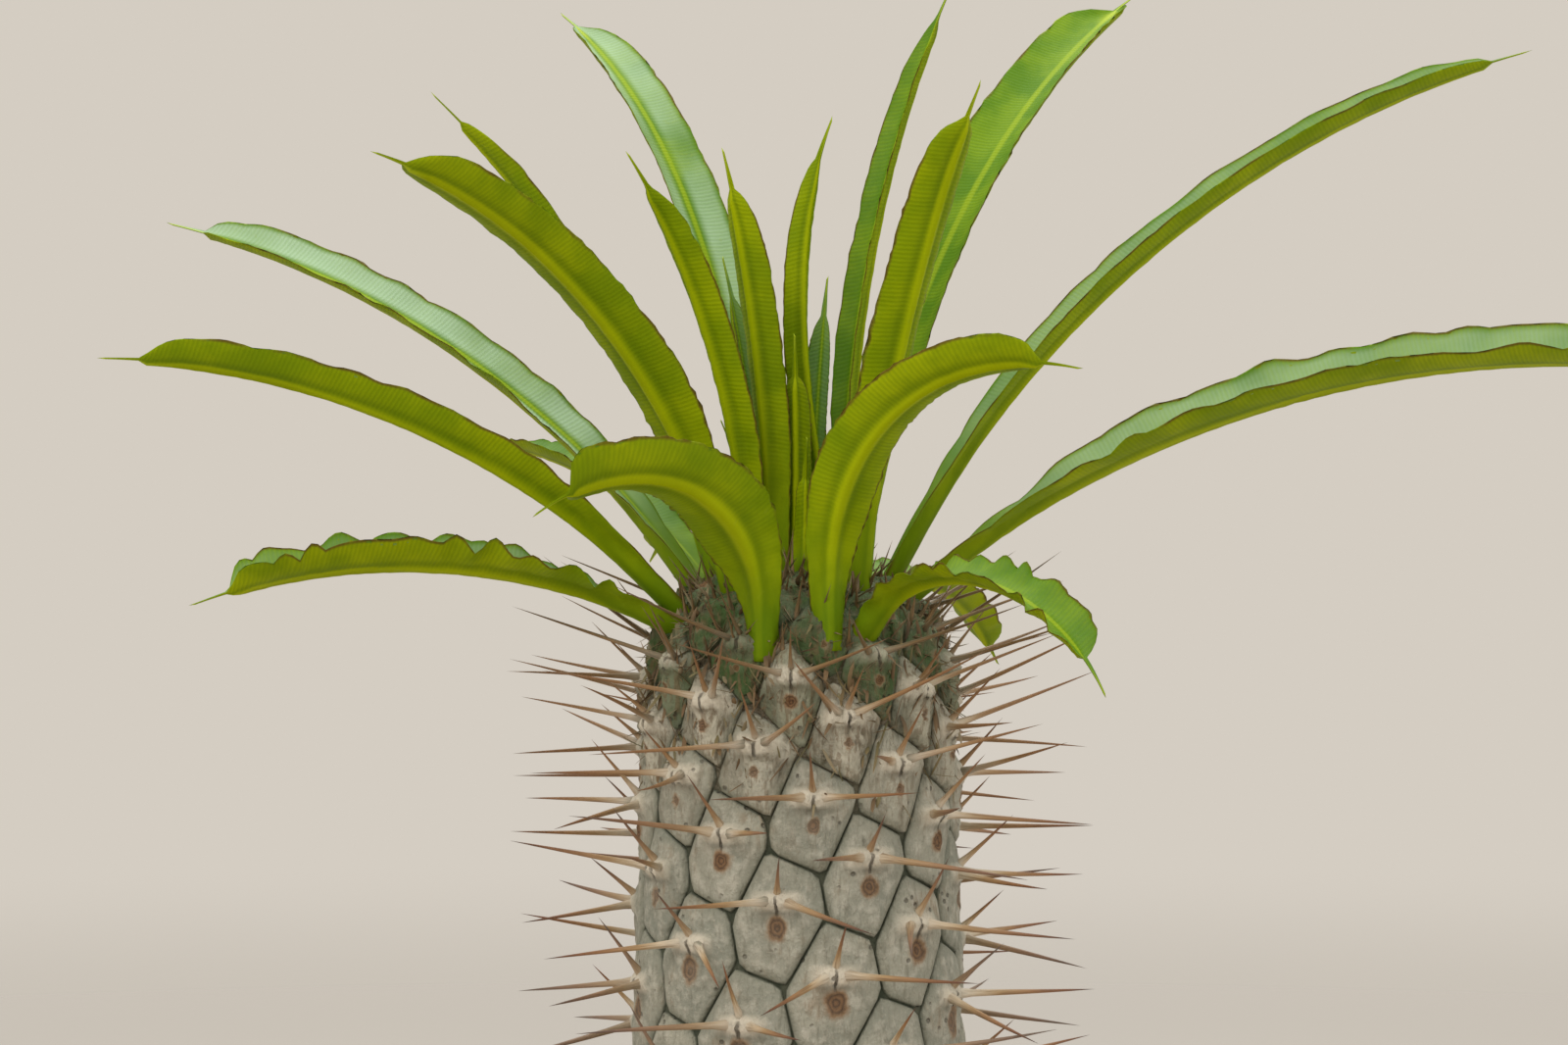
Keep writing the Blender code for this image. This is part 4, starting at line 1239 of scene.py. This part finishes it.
def floor_and_light():
    """A pale floor that fades into a pale surround, and soft lamps."""
    bpy.ops.mesh.primitive_circle_add(vertices=96, radius=FLOOR_RADIUS, fill_type="NGON")
    floor = bpy.context.object
    floor.name = "floor"
    f = Finish("pale_floor", Roughness=0.9, Base_Color=(*FLOOR_COLOUR, 1.0))
    away = f.node("ShaderNodeVectorMath", {"operation": "LENGTH"}, {0: f.place()}, out="Value")
    clear = f.node("ShaderNodeBsdfTransparent")
    solid = Value(f, f.shader.outputs[0])
    mixed = f.node("ShaderNodeMixShader", {}, {0: away.step(*FLOOR_FADE), 1: solid, 2: clear})
    f.links.new(mixed.socket, f.nodes["Material Output"].inputs["Surface"])
    floor.data.materials.append(f.material)

    world = bpy.data.worlds.new("surround")
    world.use_nodes = True
    world.node_tree.nodes["Background"].inputs["Color"].default_value = (*SURROUND_COLOUR, 1.0)
    bpy.context.scene.world = world
    for lamp in LAMPS:
        soft_lamp(*lamp)


def soft_lamp(name, where, size, power, tint):
    """A square area lamp that points at the plant."""
    bpy.ops.object.light_add(type="AREA", location=where)
    light = bpy.context.object
    light.name = name
    light.data.size = size
    light.data.energy = power
    light.data.color = tint
    light.rotation_euler = (LAMP_AIM - Vector(where)).to_track_quat("-Z", "Y").to_euler()


def camera():
    """Level, at the photograph's height and distance."""
    height = BOTTOM_Z + PHOTO_HEIGHT / 2 * PIXEL
    aside = (PHOTO_WIDTH / 2 - STEM_MIDDLE_PIXEL) * PIXEL
    bpy.ops.object.camera_add(location=(aside, -CAMERA_DISTANCE, height), rotation=(math.radians(90), 0, 0))
    cam = bpy.context.object
    cam.data.sensor_width = SENSOR
    cam.data.lens = SENSOR * CAMERA_DISTANCE / (PHOTO_WIDTH * PIXEL)
    bpy.context.scene.camera = cam


camera()
floor_and_light()
bpy.context.scene.view_settings.view_transform = "Standard"

all_plates = spiral_plates()
all_leaves = [Leaf(f"leaf_{number + 1:02d}", *row) for number, row in enumerate(LEAVES)]
finish_piece(bark_plates(all_plates), bark_finish(), "bark", "stem")
finish_piece(groove_floor(), groove_finish(), "bark", "stem")
spine_material = spine_finish()
finish_piece(spines(all_plates, all_leaves), spine_material, "bark", "stem")
finish_piece(crown_prickles(), spine_material, "bark")
leaf_material = leaf_finish()
leaf_ball = Ball(*LEAF_MESH)
for number, leaf in enumerate(all_leaves):
    finish_piece(leaf_piece(leaf_ball, leaf, LEAF_RIPPLE + number), leaf_material, "leaf", leaf.name)
finish_piece(crown_buds(leaf_ball), leaf_material, "leaf")
leaf_ball.done()
finish_piece(crown_scales(), scale_finish(), "bark", smooth_angle=60)
finish_piece(pot_piece(), clay_finish(), "clay", "pot", smooth_angle=40)
finish_piece(soil_body(), soil_finish(), "soil", "soil")
finish_piece(soil_grit(), grit_finish(), "soil", smooth_angle=50)
